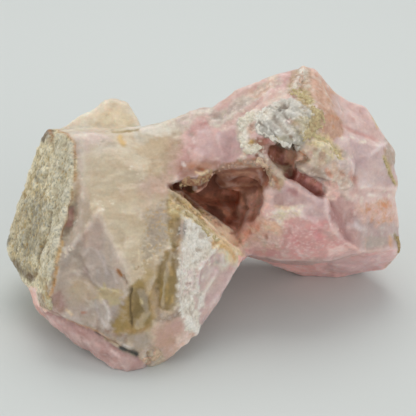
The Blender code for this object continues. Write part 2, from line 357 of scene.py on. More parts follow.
# Tones, from 0 to 255.
IVORY = (224, 215, 200)
CREAM_PALE = (210, 198, 176)
CREAM = (196, 184, 161)
CREAM_TAN = (189, 168, 141)
CREAM_PINK = (200, 182, 168)
APRICOT = (206, 184, 153)
APRICOT_PALE = (217, 202, 174)
BUTTER = (200, 184, 142)
PINK = (205, 171, 163)
PINK_PALE = (216, 193, 186)
PINK_DEEP = (192, 150, 144)
PINK_HOT = (216, 152, 149)
ROSE = (178, 126, 122)
LILAC = (198, 170, 170)
MAUVE = (170, 122, 120)
SALMON = (186, 147, 128)
PEACH = (203, 168, 146)
ORANGE = (194, 138, 98)
CHALK = (226, 220, 209)
CHALK_GREY = (182, 176, 164)
GREY_PINK = (178, 158, 146)
GREY_WARM = (166, 149, 130)
GREY_LILAC = (182, 167, 158)
GREY_SAND = (188, 171, 154)
OLIVE = (150, 127, 74)
OLIVE_DARK = (122, 100, 64)
HONEY = (190, 158, 96)
GOLD = (190, 156, 96)
TAN = (180, 154, 118)
MATRIX_PALE = (214, 206, 182)
MATRIX = (196, 187, 160)
MATRIX_SAND = (174, 157, 120)
MATRIX_GREY = (142, 140, 130)
MATRIX_BLUE = (124, 130, 134)
CLAY = (200, 132, 104)
CLAY_DARK = (174, 106, 82)
CAVE = (196, 140, 112)
RUST = (148, 80, 56)
BLOOM = (228, 172, 152)
BROWN = (140, 94, 72)
ROSE_BROWN = (178, 120, 104)
RED_BROWN = (124, 66, 50)
YELLOW = (200, 180, 138)
KHAKI = (176, 154, 114)


class Area(NamedTuple):
    """A region of the front: its kind of surface, two tones with flecks of a third, and how they are laid."""

    name: str
    kind: str
    tones: tuple
    outline: str
    size: float = 3.0  # of the patches of tone, in mm
    soft: float = 3.0  # width of the border, in pixels
    wobble: float = 2.0  # how far the border wanders, in pixels
    # The shade is partly the tones' own brightness and partly painted light and painted shade.
    shade: float = 1.0  # brightness of the tones
    strength: float = 1.0  # share that covers what lies under it
    way: str = "even"


# Areas of the front, each laid over the ones before it.
AREAS = [
    # the cream top of the left lobe
    Area("left_base", "wax", (CREAM_PALE, CREAM_TAN, IVORY),
         "-10,90 186,90 184,140 176,190 250,250 215,300 195,345 150,385 -10,385", 6, 6, 4, way="level"),
    Area("fin", "wax", (CREAM_PALE, APRICOT_PALE, IVORY),
         "52,133 60,118 95,98 130,92 143,130 100,132", 6, 3, 1, 0.81, way="level"),
    Area("fin_core", "wax", (APRICOT_PALE, APRICOT_PALE, CREAM_PALE),
         "92,114 106,103 122,106 134,124 112,129 90,127", 3, 18, 4, 1.16, 0.6, way="level"),
    Area("fin_haze", "wax", (IVORY, CREAM_PALE, CHALK),
         "55,131 66,117 92,104 98,109 88,122 76,131", 3, 18, 4, 1.07, 0.8),
    Area("cream_top", "wax", (CREAM_PINK, CREAM_PALE, IVORY),
         "60,129 112,129 118,148 104,172 86,196 76,180 76,150", 3, 12, 5, 0.9, 0.9, way="level"),
    Area("cream_veil", "wax", (PINK_PALE, CREAM_PINK, IVORY),
         "74,131 104,131 108,140 86,150 80,176 88,198 80,206 76,180", 3, 10, 4, 0.93, 0.7),
    Area("cream_middle", "wax", (CREAM, CREAM_TAN, CREAM_PALE),
         "88,154 124,142 150,134 168,132 176,150 168,180 150,196 110,200 88,192",
         3, 13, 5, 1, 0.9, way="level"),
    Area("cream_right", "wax", (CREAM_TAN, APRICOT, CREAM),
         "136,142 168,131 180,146 176,170 162,184 144,174", 3, 13, 5, 0.94, 0.9, way="level"),
    Area("cream_orange", "wax", (SALMON, CREAM_TAN, PEACH),
         "168,138 184,134 190,158 180,180 168,176 162,160", 3, 13, 5, 0.78, 0.75),
    Area("blush", "wax", (GREY_PINK, SALMON, CREAM_PINK),
         "136,182 170,172 176,188 160,206 138,204", 3, 13, 4, 1.06, 0.75),
    Area("cream_low", "wax", (CREAM, CREAM_TAN, CREAM_PALE),
         "86,202 130,190 160,200 156,240 136,266 112,240 100,214 90,222", 3, 10, 5, 1.07, 0.95, way="level"),
    Area("cream_shadow", "wax", (CREAM_TAN, GREY_SAND, CREAM),
         "134,200 168,194 176,204 160,216 140,220", 3, 8, 4, 1.02, 0.8),
    Area("cream_rim", "wax", (IVORY, CHALK, CREAM_PALE),
         "136,124 172,120 178,131 152,138 134,137", 3, 8, 3, 0.83, 0.7),
    Area("lilac_strip", "wax", (GREY_LILAC, GREY_PINK, CREAM_PALE),
         "150,212 160,204 168,214 166,240 152,254 146,236", 1.6, 9, 3, 1, 0.6, way="upright"),
    Area("sugar_strip", "rind", (CREAM_TAN, GREY_WARM, CREAM_PALE),
         "148,210 168,198 172,220 168,246 146,266 142,246", 0.8, 8, 4, 0.71, 0.55),
    Area("band", "wax", (CREAM_TAN, CREAM_PINK, IVORY),
         "78,198 90,202 92,218 78,240 62,264 58,262 66,236", 3, 5, 3, 0.8, 0.9, way="upright"),
    # the grey front of the left lobe
    Area("grey_face", "wax", (GREY_SAND, GREY_LILAC, CREAM_PINK),
         "98,214 110,238 126,266 130,290 118,330 92,334 50,314 48,292 58,262 68,246 84,228",
         3, 11, 2, 0.99, way="upright"),
    Area("grey_peak", "wax", (GREY_PINK, SALMON, GREY_WARM),
         "98,218 104,232 100,248 86,250 78,244 88,230", 3, 8, 3, 1.05, 0.5),
    Area("grey_left", "wax", (GREY_SAND, CREAM_PINK, IVORY),
         "58,262 70,246 84,234 82,250 72,264 62,274", 3, 8, 3, 0.57, 0.7, way="upright"),
    Area("grey_hollow", "wax", (GREY_WARM, GREY_PINK, MAUVE),
         "76,252 84,254 88,270 84,280 78,268", 1.6, 6, 3, 0.7, 0.55, way="upright"),
    Area("grey_shell", "wax", (GREY_LILAC, CREAM_PINK, PINK_PALE),
         "82,250 92,245 102,252 112,268 118,284 108,290 96,284 85,268", 1.6, 6, 3, 0.76, 0.8, way="upright"),
    Area("grey_round", "wax", (GREY_SAND, GREY_PINK, CREAM_PINK),
         "62,272 76,272 92,282 104,294 110,318 96,334 70,322 54,310 54,290", 3, 7, 3, 0.85, 0.8),
    Area("round_tan", "wax", (CREAM_TAN, APRICOT, GREY_PINK),
         "74,280 90,279 98,292 92,304 78,304 70,292", 3, 11, 3, 0.8, 0.7),
    Area("rose_corner", "satin", (SALMON, PINK_DEEP, PINK),
         "50,296 62,290 67,308 60,318 48,312", 1.6, 7, 3, 0.69, 0.8),
    Area("low_lilac", "wax", (GREY_LILAC, GREY_LILAC, CREAM_PINK),
         "116,296 127,298 124,320 114,332 108,318", 1.6, 7, 3, 0.68, 0.6),
    Area("blue_chips", "wax", (IVORY, GREY_LILAC, CHALK),
         "90,302 100,298 108,306 110,326 104,332 96,318", 1.6, 6, 4, 0.78, 0.6, way="upright"),
    Area("yellow_patch", "wax", (BUTTER, YELLOW, GOLD),
         "96,289 104,287 112,290 119,293 119,302 114,308 107,301 98,299", 1.6, 5, 4, 0.83, 0.8),
    Area("groove", "satin", (CREAM_TAN, GREY_WARM, SALMON),
         "72,198 79,202 78,212 74,224 68,236 62,248 58,264 57,250 62,236 66,216",
         1.6, 6, 3, 0.66, 0.8, way="upright"),
    Area("edge_tan", "satin", (CREAM_TAN, TAN, CREAM),
         "70,158 79,158 80,186 74,202 66,202 71,180", 1.6, 5, 3, 0.87, 0.75),
    Area("groove_dark", "deep", (MAUVE, BROWN, GREY_WARM),
         "68,210 73,208 74,218 70,228 65,230 66,218", 1.6, 5, 2, 1.55, 0.65),
    # the olive veins and the lower right of the left lobe
    Area("olive_low", "honey", (OLIVE, HONEY, OLIVE_DARK),
         "130,284 140,279 150,283 158,294 157,318 148,331 132,338 116,334 111,322 122,304",
         3, 8, 4, 0.72, 0.95, way="upright"),
    Area("olive_low_core", "honey", (OLIVE_DARK, OLIVE, HONEY),
         "131,292 142,288 148,298 144,312 136,324 130,318", 1.6, 8, 3, 0.6, 0.6, way="upright"),
    Area("olive_glow", "honey", (HONEY, GOLD, OLIVE),
         "119,308 130,306 132,322 130,333 120,330", 1.6, 8, 3, 0.62, 0.6),
    Area("olive_mid", "honey", (TAN, GREY_WARM, TAN),
         "148,284 158,282 172,300 172,314 160,322 152,312", 1.6, 7, 3, 1.29, 0.85),
    Area("olive_shoulder", "honey", (TAN, HONEY, CREAM_TAN),
         "146,264 157,258 163,280 152,290 143,280", 1.6, 7, 3, 0.82, 0.7),
    Area("olive_high", "honey", (OLIVE_DARK, OLIVE, HONEY),
         "166,252 173,249 178,262 178,296 172,312 160,308 156,284 161,266",
         3, 5, 3, 1.05, 0.95, way="upright"),
    Area("olive_edge", "rind", (TAN, CREAM_TAN, CREAM_PALE),
         "174,250 180,250 181,300 172,308 177,278", 1.6, 4, 2, 0.61, 0.7),
    Area("olive_top", "rind", (HONEY, OLIVE, CREAM_PALE),
         "168,196 176,202 182,222 182,250 172,252 167,228", 1.6, 4, 2, 0.71, 0.9),
    Area("olive_lilac", "wax", (TAN, GREY_WARM, LILAC),
         "173,224 182,219 190,222 182,234 176,246 171,238", 1.6, 5, 2, 0.84, 0.55),
    Area("low_blue", "wax", (GREY_LILAC, GREY_WARM, CHALK_GREY),
         "124,333 150,333 155,348 144,358 130,350", 1.6, 7, 3, 0.92, 0.85),
    Area("low_tan", "satin", (GREY_WARM, SALMON, TAN),
         "84,325 98,327 124,333 128,346 104,339 92,333", 1.6, 5, 3, 0.62, 0.85),
    Area("low_pink", "wax", (PINK, PEACH, PINK_PALE),
         "156,330 166,319 182,312 202,326 202,340 184,356 164,364 152,350", 3, 13, 4, 0.89, way="upright"),
    Area("low_crumbs", "grain", (CREAM_PINK, PEACH, PEACH),
         "160,312 170,314 181,306 182,314 168,322 156,324", 0.8, 5, 3, 0.46, 0.7),
    Area("low_tip", "satin", (GREY_PINK, CREAM_TAN, IVORY),
         "140,350 156,342 166,358 150,370 138,362", 0.8, 5, 3, 0.98),
    # foot_light is painted light on the shaded lower right foot.
    Area("foot_light", "satin", (CREAM_PINK, PINK_PALE, PEACH),
         "176,338 192,330 201,334 199,342 188,353 176,352", 1.6, 6, 3, 1.21, 0.8),
    # the chalky shoulder and the rim of the hollow
    Area("wedge_right", "wax", (CREAM_PINK, LILAC, IVORY),
         "190,222 220,236 248,252 236,280 206,322 196,332 186,330 182,270", 3, 3, 2, 1.01),
    Area("wedge_low", "wax", (PINK, LILAC, PINK_PALE),
         "216,276 236,266 232,284 208,318 198,326 204,300", 3, 9, 3, 0.98, 0.6),
    Area("chalk", "chalk", (CHALK, IVORY, IVORY),
         "181,219 188,214 198,223 210,231 221,242 214,254 206,259 199,266 196,276 198,290 193,302 199,312 "
         "203,324 198,336 188,332 182,316 177,300 180,262", 1.6, 3, 4, 0.93),
    Area("chalk_shade", "chalk", (CHALK_GREY, CREAM_PALE, IVORY),
         "196,240 208,240 211,251 200,260 193,253", 1.6, 7, 3, 0.98, 0.7),
    Area("chalk_bright", "chalk", (CHALK, CHALK, IVORY),
         "187,228 200,230 214,238 207,254 198,266 188,260", 1.6, 6, 3, 0.96, 0.8),
    Area("chalk_blush", "chalk", (CHALK_GREY, LILAC, CHALK),
         "184,268 194,270 196,292 187,300 183,286", 1.6, 6, 3, 1.34, 0.6),
    Area("chalk_left", "wax", (GREY_LILAC, GREY_SAND, CHALK_GREY),
         "179,224 186,221 189,231 185,239 179,236", 1.6, 4, 3, 0.3, 0.8),
    Area("chalk_right", "chalk", (CHALK, IVORY, CHALK_GREY),
         "196,292 204,292 206,306 199,310", 1.6, 4, 3, 1.02, 0.8),
    Area("rim", "rind", (TAN, CREAM_TAN, CREAM_TAN),
         "169,188 180,190 197,206 214,219 233,229 246,248 242,260 226,251 212,238 198,224 186,211 172,209",
         1.6, 1.8, 1.5, 1.52),
    Area("rim_back", "rind", (TAN, OLIVE, GOLD),
         "169,188 180,189 197,204 214,217 224,224 216,228 200,216 188,206 178,200 170,200",
         0.8, 3, 1.5, 1.47, 0.9),
    Area("rim_front", "grain", (BUTTER, YELLOW, GOLD),
         "168,202 180,205 192,212 204,222 214,231 222,241 214,237 203,228 192,219 180,213 168,212",
         0.8, 4, 2, 1.03, 0.8),
    # rim_peach is brightened with painted light where the rim lies in the right lobe's shade.
    Area("rim_peach", "wax", (CREAM_TAN, PEACH, CREAM_TAN),
         "202,215 218,221 232,230 243,246 236,250 224,240 212,229", 1.6, 4, 2, 2.28, 0.85),
    Area("rim_end", "satin", (APRICOT, BUTTER, CREAM_PALE),
         "220,240 232,244 244,252 240,266 230,262 216,250", 1.6, 6, 3, 1.18, 0.8),
    Area("rim_gold", "grain", (GOLD, APRICOT, HONEY),
         "211,238 219,238 226,245 222,250 214,248", 0.8, 4, 3, 1.63, 0.6),
    # the matrix face and the ledge
    Area("matrix", "matrix", (MATRIX, MATRIX_SAND, MATRIX_PALE),
         "42,122 52,128 64,132 74,142 76,160 75,178 72,198 67,219 61,238 58,258 53,276 48,292 36,292 24,284 "
         "-6,264 -8,238 10,188 28,138", 3, 1.2, 2.2, 1.32),
    Area("matrix_bright", "matrix", (MATRIX_PALE, MATRIX, MATRIX_SAND),
         "54,132 64,134 74,144 74,178 66,216 58,244 52,276 44,286 46,250 52,222 52,180 54,150",
         1.6, 12, 5, 0.81, 0.75),
    Area("matrix_dark", "matrix", (MATRIX_GREY, MATRIX_SAND, MATRIX),
         "28,200 40,192 48,206 42,230 40,252 24,262 16,246 26,224", 1.6, 11, 6, 0.83, 0.75),
    Area("matrix_fringe", "matrix", (KHAKI, MATRIX, MATRIX_PALE),
         "20,196 28,196 24,222 18,240 8,246 8,226", 0.8, 6, 4, 0.99, 0.7),
    Area("matrix_foot", "matrix", (MATRIX_GREY, OLIVE_DARK, MATRIX_SAND),
         "8,256 22,262 34,270 32,284 18,278", 1.6, 6, 4, 0.95, 0.6),
    Area("matrix_tip", "grain", (CREAM_TAN, APRICOT, IVORY),
         "53,266 59,262 54,290 51,308 46,314 40,306 36,294 45,288", 0.8, 2.5, 3, 0.65),
    Area("ledge_end", "wax", (PINK, PEACH, PINK_PALE),
         "20,284 34,288 40,306 50,314 58,332 20,332", 3, 4, 2, 1.45),
    Area("ledge", "wax", (PINK_DEEP, PINK, PINK_PALE),
         "30,302 48,313 66,320 86,328 97,334 120,349 138,357 148,366 140,392 30,342",
         3, 1.8, 1.6, 0.8, way="level"),
    Area("ledge_foot", "wax", (PINK_DEEP, PINK, ROSE),
         "44,324 70,340 100,358 128,372 120,384 40,350", 3, 7, 2, 1.1, 0.6),
    # the bridge, and the vein that climbs the crown
    Area("neck", "wax", (PINK_DEEP, PINK, GREY_PINK),
         "182,112 216,104 224,130 224,168 204,182 178,184 174,168 184,140", 3, 14, 5, 0.99),
    Area("neck_bright", "wax", (LILAC, PINK, PINK_PALE),
         "197,130 207,126 216,134 221,154 206,158 194,150", 3, 4, 2, 0.96),
    Area("neck_low", "wax", (SALMON, ROSE_BROWN, ORANGE),
         "182,160 206,160 222,164 208,172 190,180 178,178", 1.6, 8, 3, 0.69, 0.9),
    Area("neck_crest", "satin", (CREAM_PINK, IVORY, PINK_PALE),
         "168,124 196,106 216,104 212,114 196,120 182,131", 1.6, 6, 3, 0.87, 0.9),
    Area("neck_fold", "satin", (PEACH, CREAM_PINK, IVORY),
         "204,116 214,118 218,126 210,128", 1.6, 4, 3, 0.68, 0.6),
    Area("crown_vein", "satin", (CREAM_PALE, PINK_PALE, IVORY),
         "208,124 216,113 238,99 262,83 278,74 285,80 266,95 246,108 230,120 218,129", 0.8, 6, 3, 0.8, 0.9),
    Area("vein_grey_low", "satin", (GREY_LILAC, GREY_PINK, IVORY),
         "211,112 221,109 226,116 218,123 210,119", 0.8, 4, 3, 0.95, 0.75),
    Area("vein_grey_high", "satin", (GREY_LILAC, GREY_PINK, IVORY),
         "228,106 238,99 249,97 246,105 236,111 229,112", 0.8, 4, 3, 0.99, 0.75),
    Area("vein_orange", "satin", (PEACH, SALMON, IVORY),
         "250,94 262,86 274,78 278,82 266,92 254,99", 0.8, 4, 3, 1.33, 0.5),
    Area("crown_edge", "wax", (PINK_PALE, PEACH, IVORY),
         "212,106 236,88 262,78 262,83 238,96 216,110", 3, 4, 2, 0.9, 0.6),
    Area("crown_pink", "wax", (PINK, CREAM_PINK, PINK_PALE),
         "220,130 250,108 282,88 290,96 262,116 250,130 240,146 224,156", 3, 8, 3, 1.09, way="slanted"),
    Area("crown_lilac", "wax", (PINK_DEEP, LILAC, GREY_PINK),
         "219,134 234,128 242,146 238,158 224,164 218,154", 3, 6, 3, 0.96, 0.9),
    # the crown, the knobs and the cheek of the pink lobe
    Area("crown_orange", "satin", (PEACH, SALMON, CREAM_PINK),
         "296,70 306,66 318,72 336,94 346,110 338,118 320,114 304,92", 1.6, 5, 3, 1.06),
    Area("crown_ember", "satin", (PEACH, ORANGE, PEACH),
         "308,88 318,92 332,98 336,106 324,106 312,98", 1.6, 7, 3, 0.86, 0.5),
    Area("crown_peak", "grain", (PEACH, APRICOT, IVORY),
         "292,72 308,67 311,84 310,100 296,98 284,92 290,80", 0.8, 5, 3, 0.82, 0.9),
    Area("peak_white", "chalk", (CHALK, CHALK_GREY, IVORY),
         "299,70 306,71 306,79 300,82 297,76", 0.8, 4, 3, 1.18, 0.7),
    Area("crown_right", "wax", (PINK, PINK_PALE, PEACH),
         "330,94 342,96 350,120 346,134 338,122 334,106", 3, 5, 2, 0.89, 0.8),
    Area("knobs", "grain", (CREAM_PALE, CREAM_PINK, IVORY),
         "240,122 247,112 256,113 254,122 248,129 248,136 256,141 264,150 272,166 266,162 256,156 244,150 "
         "238,141 238,130", 0.8, 4, 3, 0.87, 0.9),
    Area("knob_bright", "chalk", (IVORY, CHALK, CREAM_PALE),
         "243,120 250,112 262,108 258,116 251,126 250,140 244,146 240,136", 0.8, 4, 3, 1.12, 0.8),
    Area("knob_hollow", "grain", (PEACH, SALMON, CREAM_PINK),
         "246,126 254,122 258,128 254,134 248,134", 0.8, 4, 2, 0.98, 0.7),
    Area("roof_edge", "satin", (SALMON, ORANGE, CREAM_TAN),
         "206,172 224,163 248,158 272,160 284,172 264,172 244,167 226,170 210,178", 0.8, 4, 2, 0.65),
    Area("cheek_high", "wax", (PINK, PINK_PALE, LILAC),
         "338,94 372,106 392,138 376,146 352,136 340,124", 3, 5, 2, 0.98),
    Area("cheek_low", "wax", (LILAC, PINK_PALE, PINK),
         "344,138 372,146 392,150 398,188 370,190 348,182 342,164", 6, 5, 2, 0.96, way="level"),
    Area("cheek_edge", "satin", (PEACH, CREAM_PINK, PINK_PALE),
         "384,130 396,140 400,170 388,166 383,150", 1.6, 3, 2, 0.82),
    Area("middle", "satin", (CREAM_PINK, PINK_PALE, PEACH),
         "294,140 326,138 346,152 356,172 352,198 332,196 312,176 296,168", 1.6, 7, 4, 0.86),
    Area("middle_ridge", "satin", (PEACH, CREAM_PINK, APRICOT),
         "322,160 334,162 346,176 350,194 340,190 330,176", 1.6, 6, 3, 1.03, 0.7),
    Area("peach_bowl", "satin", (SALMON, PEACH, ORANGE),
         "308,126 320,118 334,112 345,122 343,136 330,142 312,140", 3, 4, 2, 1.02),
    Area("bowl_shade", "satin", (ORANGE, PEACH, ORANGE),
         "320,114 334,111 342,116 336,121 324,121", 1.6, 8, 3, 1, 0.4),
    Area("mound", "satin", (CREAM_PALE, PEACH, APRICOT),
         "298,142 312,136 332,142 340,154 328,164 312,168 298,160", 1.6, 7, 4, 0.85),
    # the flank, the scoop and the belly of the pink lobe
    Area("flank", "wax", (PINK_PALE, PINK, IVORY), "346,186 402,184 404,234 384,224 358,210", 3, 7, 3, 1.07),
    Area("flank_low", "wax", (PINK_PALE, LILAC, CHALK),
         "350,218 372,214 400,226 402,254 360,252 350,238", 3, 6, 3, 0.81, 0.9),
    Area("flank_pane", "wax", (GREY_LILAC, CREAM_PINK, IVORY),
         "365,236 387,237 389,251 366,253", 3, 2.5, 1, 0.87, 0.7),
    Area("flank_peach", "satin", (PEACH, PINK, ORANGE),
         "352,204 366,202 392,200 396,220 380,228 360,216", 1.6, 7, 4, 1.12, 0.85),
    Area("scoop", "wax", (PINK, PINK_DEEP, LILAC),
         "326,196 342,196 352,214 358,230 362,248 344,242 332,229 327,216", 3, 9, 2, 0.93, 0.9),
    # scoop_deep is painted shade on the hollow side of the scoop.
    Area("scoop_deep", "wax", (ROSE, MAUVE, ROSE),
         "324,202 332,204 340,215 347,230 353,242 344,245 334,236 326,220", 3, 6, 1, 0.87, 0.8),
    Area("belly_top", "wax", (LILAC, PINK, PINK_PALE),
         "282,178 300,184 326,198 328,218 306,218 288,204 274,194", 3, 6, 3, 0.92),
    Area("shelf_shade", "wax", (PINK_DEEP, PINK, PINK_PALE),
         "266,194 282,193 284,203 274,211 266,208", 1.6, 5, 3, 0.84, 0.85),
    Area("belly", "wax", (PINK, PINK_HOT, PINK_PALE),
         "262,206 296,214 326,216 344,242 362,250 300,262 246,256 250,228", 3, 8, 3, 0.99),
    Area("belly_lilac", "wax", (LILAC, PINK_PALE, PINK),
         "298,202 326,206 328,220 306,222 294,214", 3, 8, 3, 1.03, 0.7),
    Area("belly_hot", "wax", (PINK_HOT, PINK_DEEP, LILAC),
         "284,228 296,224 324,224 334,240 344,248 316,252 294,248", 3, 16, 5, 1.08, 0.75),
    Area("belly_left", "satin", (PEACH, PINK, CREAM_PINK),
         "242,234 262,214 276,222 280,244 262,258 240,250", 1.6, 8, 4, 1.06),
    Area("belly_foot", "wax", (MAUVE, ROSE, GREY_PINK),
         "240,249 262,248 282,251 282,258 262,259 242,256", 1.6, 4, 2, 1.25, 0.7),
    Area("belly_crumb", "satin", (PEACH, IVORY, CREAM_PINK),
         "268,222 284,218 288,228 278,234 268,230", 0.8, 6, 3, 0.97, 0.7),
    Area("belly_tip", "wax", (PINK, PINK_PALE, PINK_HOT),
         "326,248 342,246 362,251 344,256 328,258", 1.6, 5, 2, 1.29, 0.8),
    Area("belly_shelf", "satin", (APRICOT_PALE, PINK_PALE, IVORY),
         "273,212 281,205 302,206 302,214 286,219 274,226", 0.8, 5, 3, 1.03),
    Area("belly_amber", "satin", (PEACH, ORANGE, APRICOT),
         "262,216 272,220 282,228 276,236 264,230", 1.6, 6, 3, 1.44, 0.55),
    Area("lower_edge", "wax", (PINK, PINK_DEEP, PINK_PALE),
         "244,251 280,259 304,260 336,256 362,248 362,252 336,260 304,264 276,263 244,256",
         1.6, 3, 2, 0.8, 0.8),
    # The underside's mauve pink is brightened with painted light that stands in for light thrown up from the
    # floor.
    Area("underside", "wax", (PINK_DEEP, ROSE, LILAC),
         "238,255 278,263 304,265 336,261 362,253 402,248 406,292 238,292", 6, 1.6, 1, 1.87),
    Area("underside_right", "wax", (LILAC, PINK_DEEP, PINK_PALE),
         "316,264 338,259 362,251 402,246 404,272 330,278", 6, 10, 2, 1.25, 0.9),
    # the hollow, the pit and the slot
    Area("hollow", "deep", (CAVE, ROSE_BROWN, CLAY),
         "170,187 180,181 196,184 206,178 232,169 268,168 276,176 268,190 258,204 260,216 254,232 240,242 "
         "226,228 206,214 184,196", 3, 4, 3, 0.79),
    Area("hollow_roof", "deep", (CAVE, ROSE_BROWN, CLAY),
         "212,175 236,167 266,168 266,180 240,186 216,186", 1.6, 6, 3, 0.58, 0.9),
    Area("hollow_wall", "deep", (BLOOM, PEACH, PINK),
         "240,204 256,190 266,192 258,206 262,218 254,236 240,244 232,230 238,214", 1.6, 8, 3, 1.19),
    Area("hollow_shelf", "deep", (CAVE, SALMON, PEACH),
         "222,195 242,192 250,201 240,209 224,207", 1.6, 6, 3, 0.58, 0.8),
    # hollow_deep paints light into the dark hole at the back of the hollow, and wall_light is painted light
    # on the hollow's lit right wall.
    Area("hollow_deep", "deep", (CAVE, SALMON, ROSE_BROWN),
         "222,191 240,190 243,206 232,212 223,204", 1.6, 5, 2, 2.12, 0.9),
    Area("wall_light", "satin", (PINK, PEACH, BLOOM),
         "252,204 262,194 273,194 272,212 256,215", 0.8, 5, 3, 1.1, 0.8),
    Area("hollow_dark", "deep", (CAVE, CLAY_DARK, BROWN),
         "174,187 196,190 222,190 236,200 232,222 214,214 190,200", 3, 7, 3, 1.28, 0.9),
    Area("hollow_lip", "deep", (ROSE_BROWN, BROWN, CLAY_DARK),
         "206,204 216,206 224,216 228,224 216,220 206,212", 1.6, 3, 2, 0.38, 0.8),
    Area("wall_foot", "deep", (CLAY, ROSE_BROWN, PEACH),
         "242,219 252,215 261,222 259,232 246,235 240,228", 1.6, 5, 3, 1.13, 0.8),
    Area("hollow_end", "deep", (RUST, RED_BROWN, CLAY_DARK),
         "226,214 236,216 238,226 230,230 222,224", 1.6, 5, 2, 1.26, 0.7),
    Area("crust_pit", "deep", (ROSE_BROWN, BROWN, ROSE),
         "262,134 276,140 290,146 300,148 300,164 282,168 270,158", 1.6, 4, 2, 0.95),
    # pit_back, pit_right and pit_edge paint light into the shaded back and right wall of the pit.
    Area("pit_back", "deep", (SALMON, PEACH, ROSE), "280,148 292,150 296,160 284,162", 1.6, 6, 3, 1.94, 0.7),
    Area("pit_right", "satin", (SALMON, CREAM_TAN, PEACH),
         "289,146 302,144 306,162 292,168 288,158", 1.6, 5, 3, 2.4, 0.9),
    Area("pit_edge", "satin", (SALMON, APRICOT, APRICOT_PALE),
         "300,142 310,144 312,160 300,172 296,166 304,156", 1.6, 4, 3, 0.92, 0.9),
    Area("slot", "deep", (ROSE_BROWN, ROSE, BROWN),
         "288,170 300,171 312,178 322,184 322,194 308,190 290,180", 1.6, 2, 1, 1.23),
    # slot_left is painted shade: it darkens the slot's left end, past where the slot is cut.
    Area("slot_left", "deep", (RUST, RED_BROWN, CLAY_DARK),
         "286,171 298,170 306,176 302,184 290,181", 1.6, 3, 2, 1.25, 0.85),
    Area("slot_roof", "satin", (PEACH, CREAM_TAN, SALMON),
         "290,162 304,162 326,172 324,178 308,173 290,168", 1.6, 5, 2, 0.6, 0.8),
    # slot_end is painted light over the right end of the slot, which the cut reaches too far.
    Area("slot_end", "satin", (PINK, CREAM_PINK, PINK_PALE),
         "321,180 333,179 341,190 338,200 328,200 326,190", 1.6, 4, 2, 1.49, 0.8),
    Area("strut_brown", "deep", (BROWN, CLAY_DARK, CREAM_TAN),
         "268,172 278,174 280,188 270,188", 0.8, 4, 2, 1, 0.8),
    Area("strut", "satin", (SALMON, APRICOT, CREAM_PINK),
         "264,158 278,165 290,166 292,172 284,180 280,192 270,188 268,172", 0.8, 3, 2, 0.82),
    Area("hanging_crust", "grain", (BROWN, CLAY_DARK, HONEY),
         "178,182 190,178 206,172 216,172 206,184 194,194 182,188", 0.8, 3, 2, 0.52),
    # the yellow crust and the white flake
    Area("yellow_crust", "grain", (YELLOW, KHAKI, IVORY),
         "289,86 298,84 310,96 321,110 324,120 316,131 306,138 299,142 296,130 304,118 298,100",
         0.8, 5, 4, 1.01, 0.9),
    Area("yellow_trail", "grain", (BUTTER, YELLOW, CREAM_PINK),
         "306,138 318,134 332,140 342,156 338,162 326,150 314,144", 0.8, 5, 4, 1.37, 0.7),
    Area("flake_high", "chalk", (IVORY, CHALK, CHALK_GREY),
         "273,102 284,97 296,99 308,107 312,115 306,122 300,126 290,118 280,112",
         1.6, 2, 2.5, 0.82, way="slanted"),
    Area("flake_low", "chalk", (IVORY, CHALK, CREAM_PINK),
         "255,124 260,110 273,105 280,110 288,120 298,130 302,142 301,148 296,150 288,146 279,146 272,139 "
         "262,137 256,132", 1.6, 1.6, 2.5, 0.6, way="slanted"),
    Area("flake_warm", "chalk", (IVORY, CHALK, CREAM_PALE),
         "282,118 296,130 304,140 296,146 286,138 278,126", 1.6, 4, 3, 0.82, 0.7, way="slanted"),
    Area("flake_shade", "chalk", (CHALK_GREY, GREY_SAND, MATRIX_GREY),
         "276,106 284,101 290,106 287,114 280,112", 0.8, 3, 3, 0.53, 0.85),
    Area("flake_gold", "grain", (BUTTER, YELLOW, CHALK),
         "290,121 298,117 308,114 314,120 306,132 298,136 293,128", 0.8, 4, 3, 0.7, 0.7),
    Area("flake_tip", "chalk", (IVORY, BUTTER, PEACH),
         "270,137 286,135 302,134 305,143 301,150 288,149 276,145", 1.6, 2.5, 2.5, 0.5, 0.9),
    Area("flake_left", "chalk", (IVORY, CHALK, CREAM_PALE),
         "258,112 268,107 274,112 268,120 258,122", 1.6, 3, 2, 1.04, 0.9),
    Area("pit_left", "deep", (RUST, BROWN, ROSE_BROWN),
         "256,138 266,141 274,147 269,158 262,153 257,146", 1.6, 3, 3, 0.91, 0.9),
    # pit_side paints light onto the pit's shaded right side.
    Area("pit_side", "satin", (SALMON, PEACH, CREAM_PINK),
         "289,151 300,148 308,150 306,162 296,170 288,163", 1.6, 4, 2, 1.91, 0.8),
]
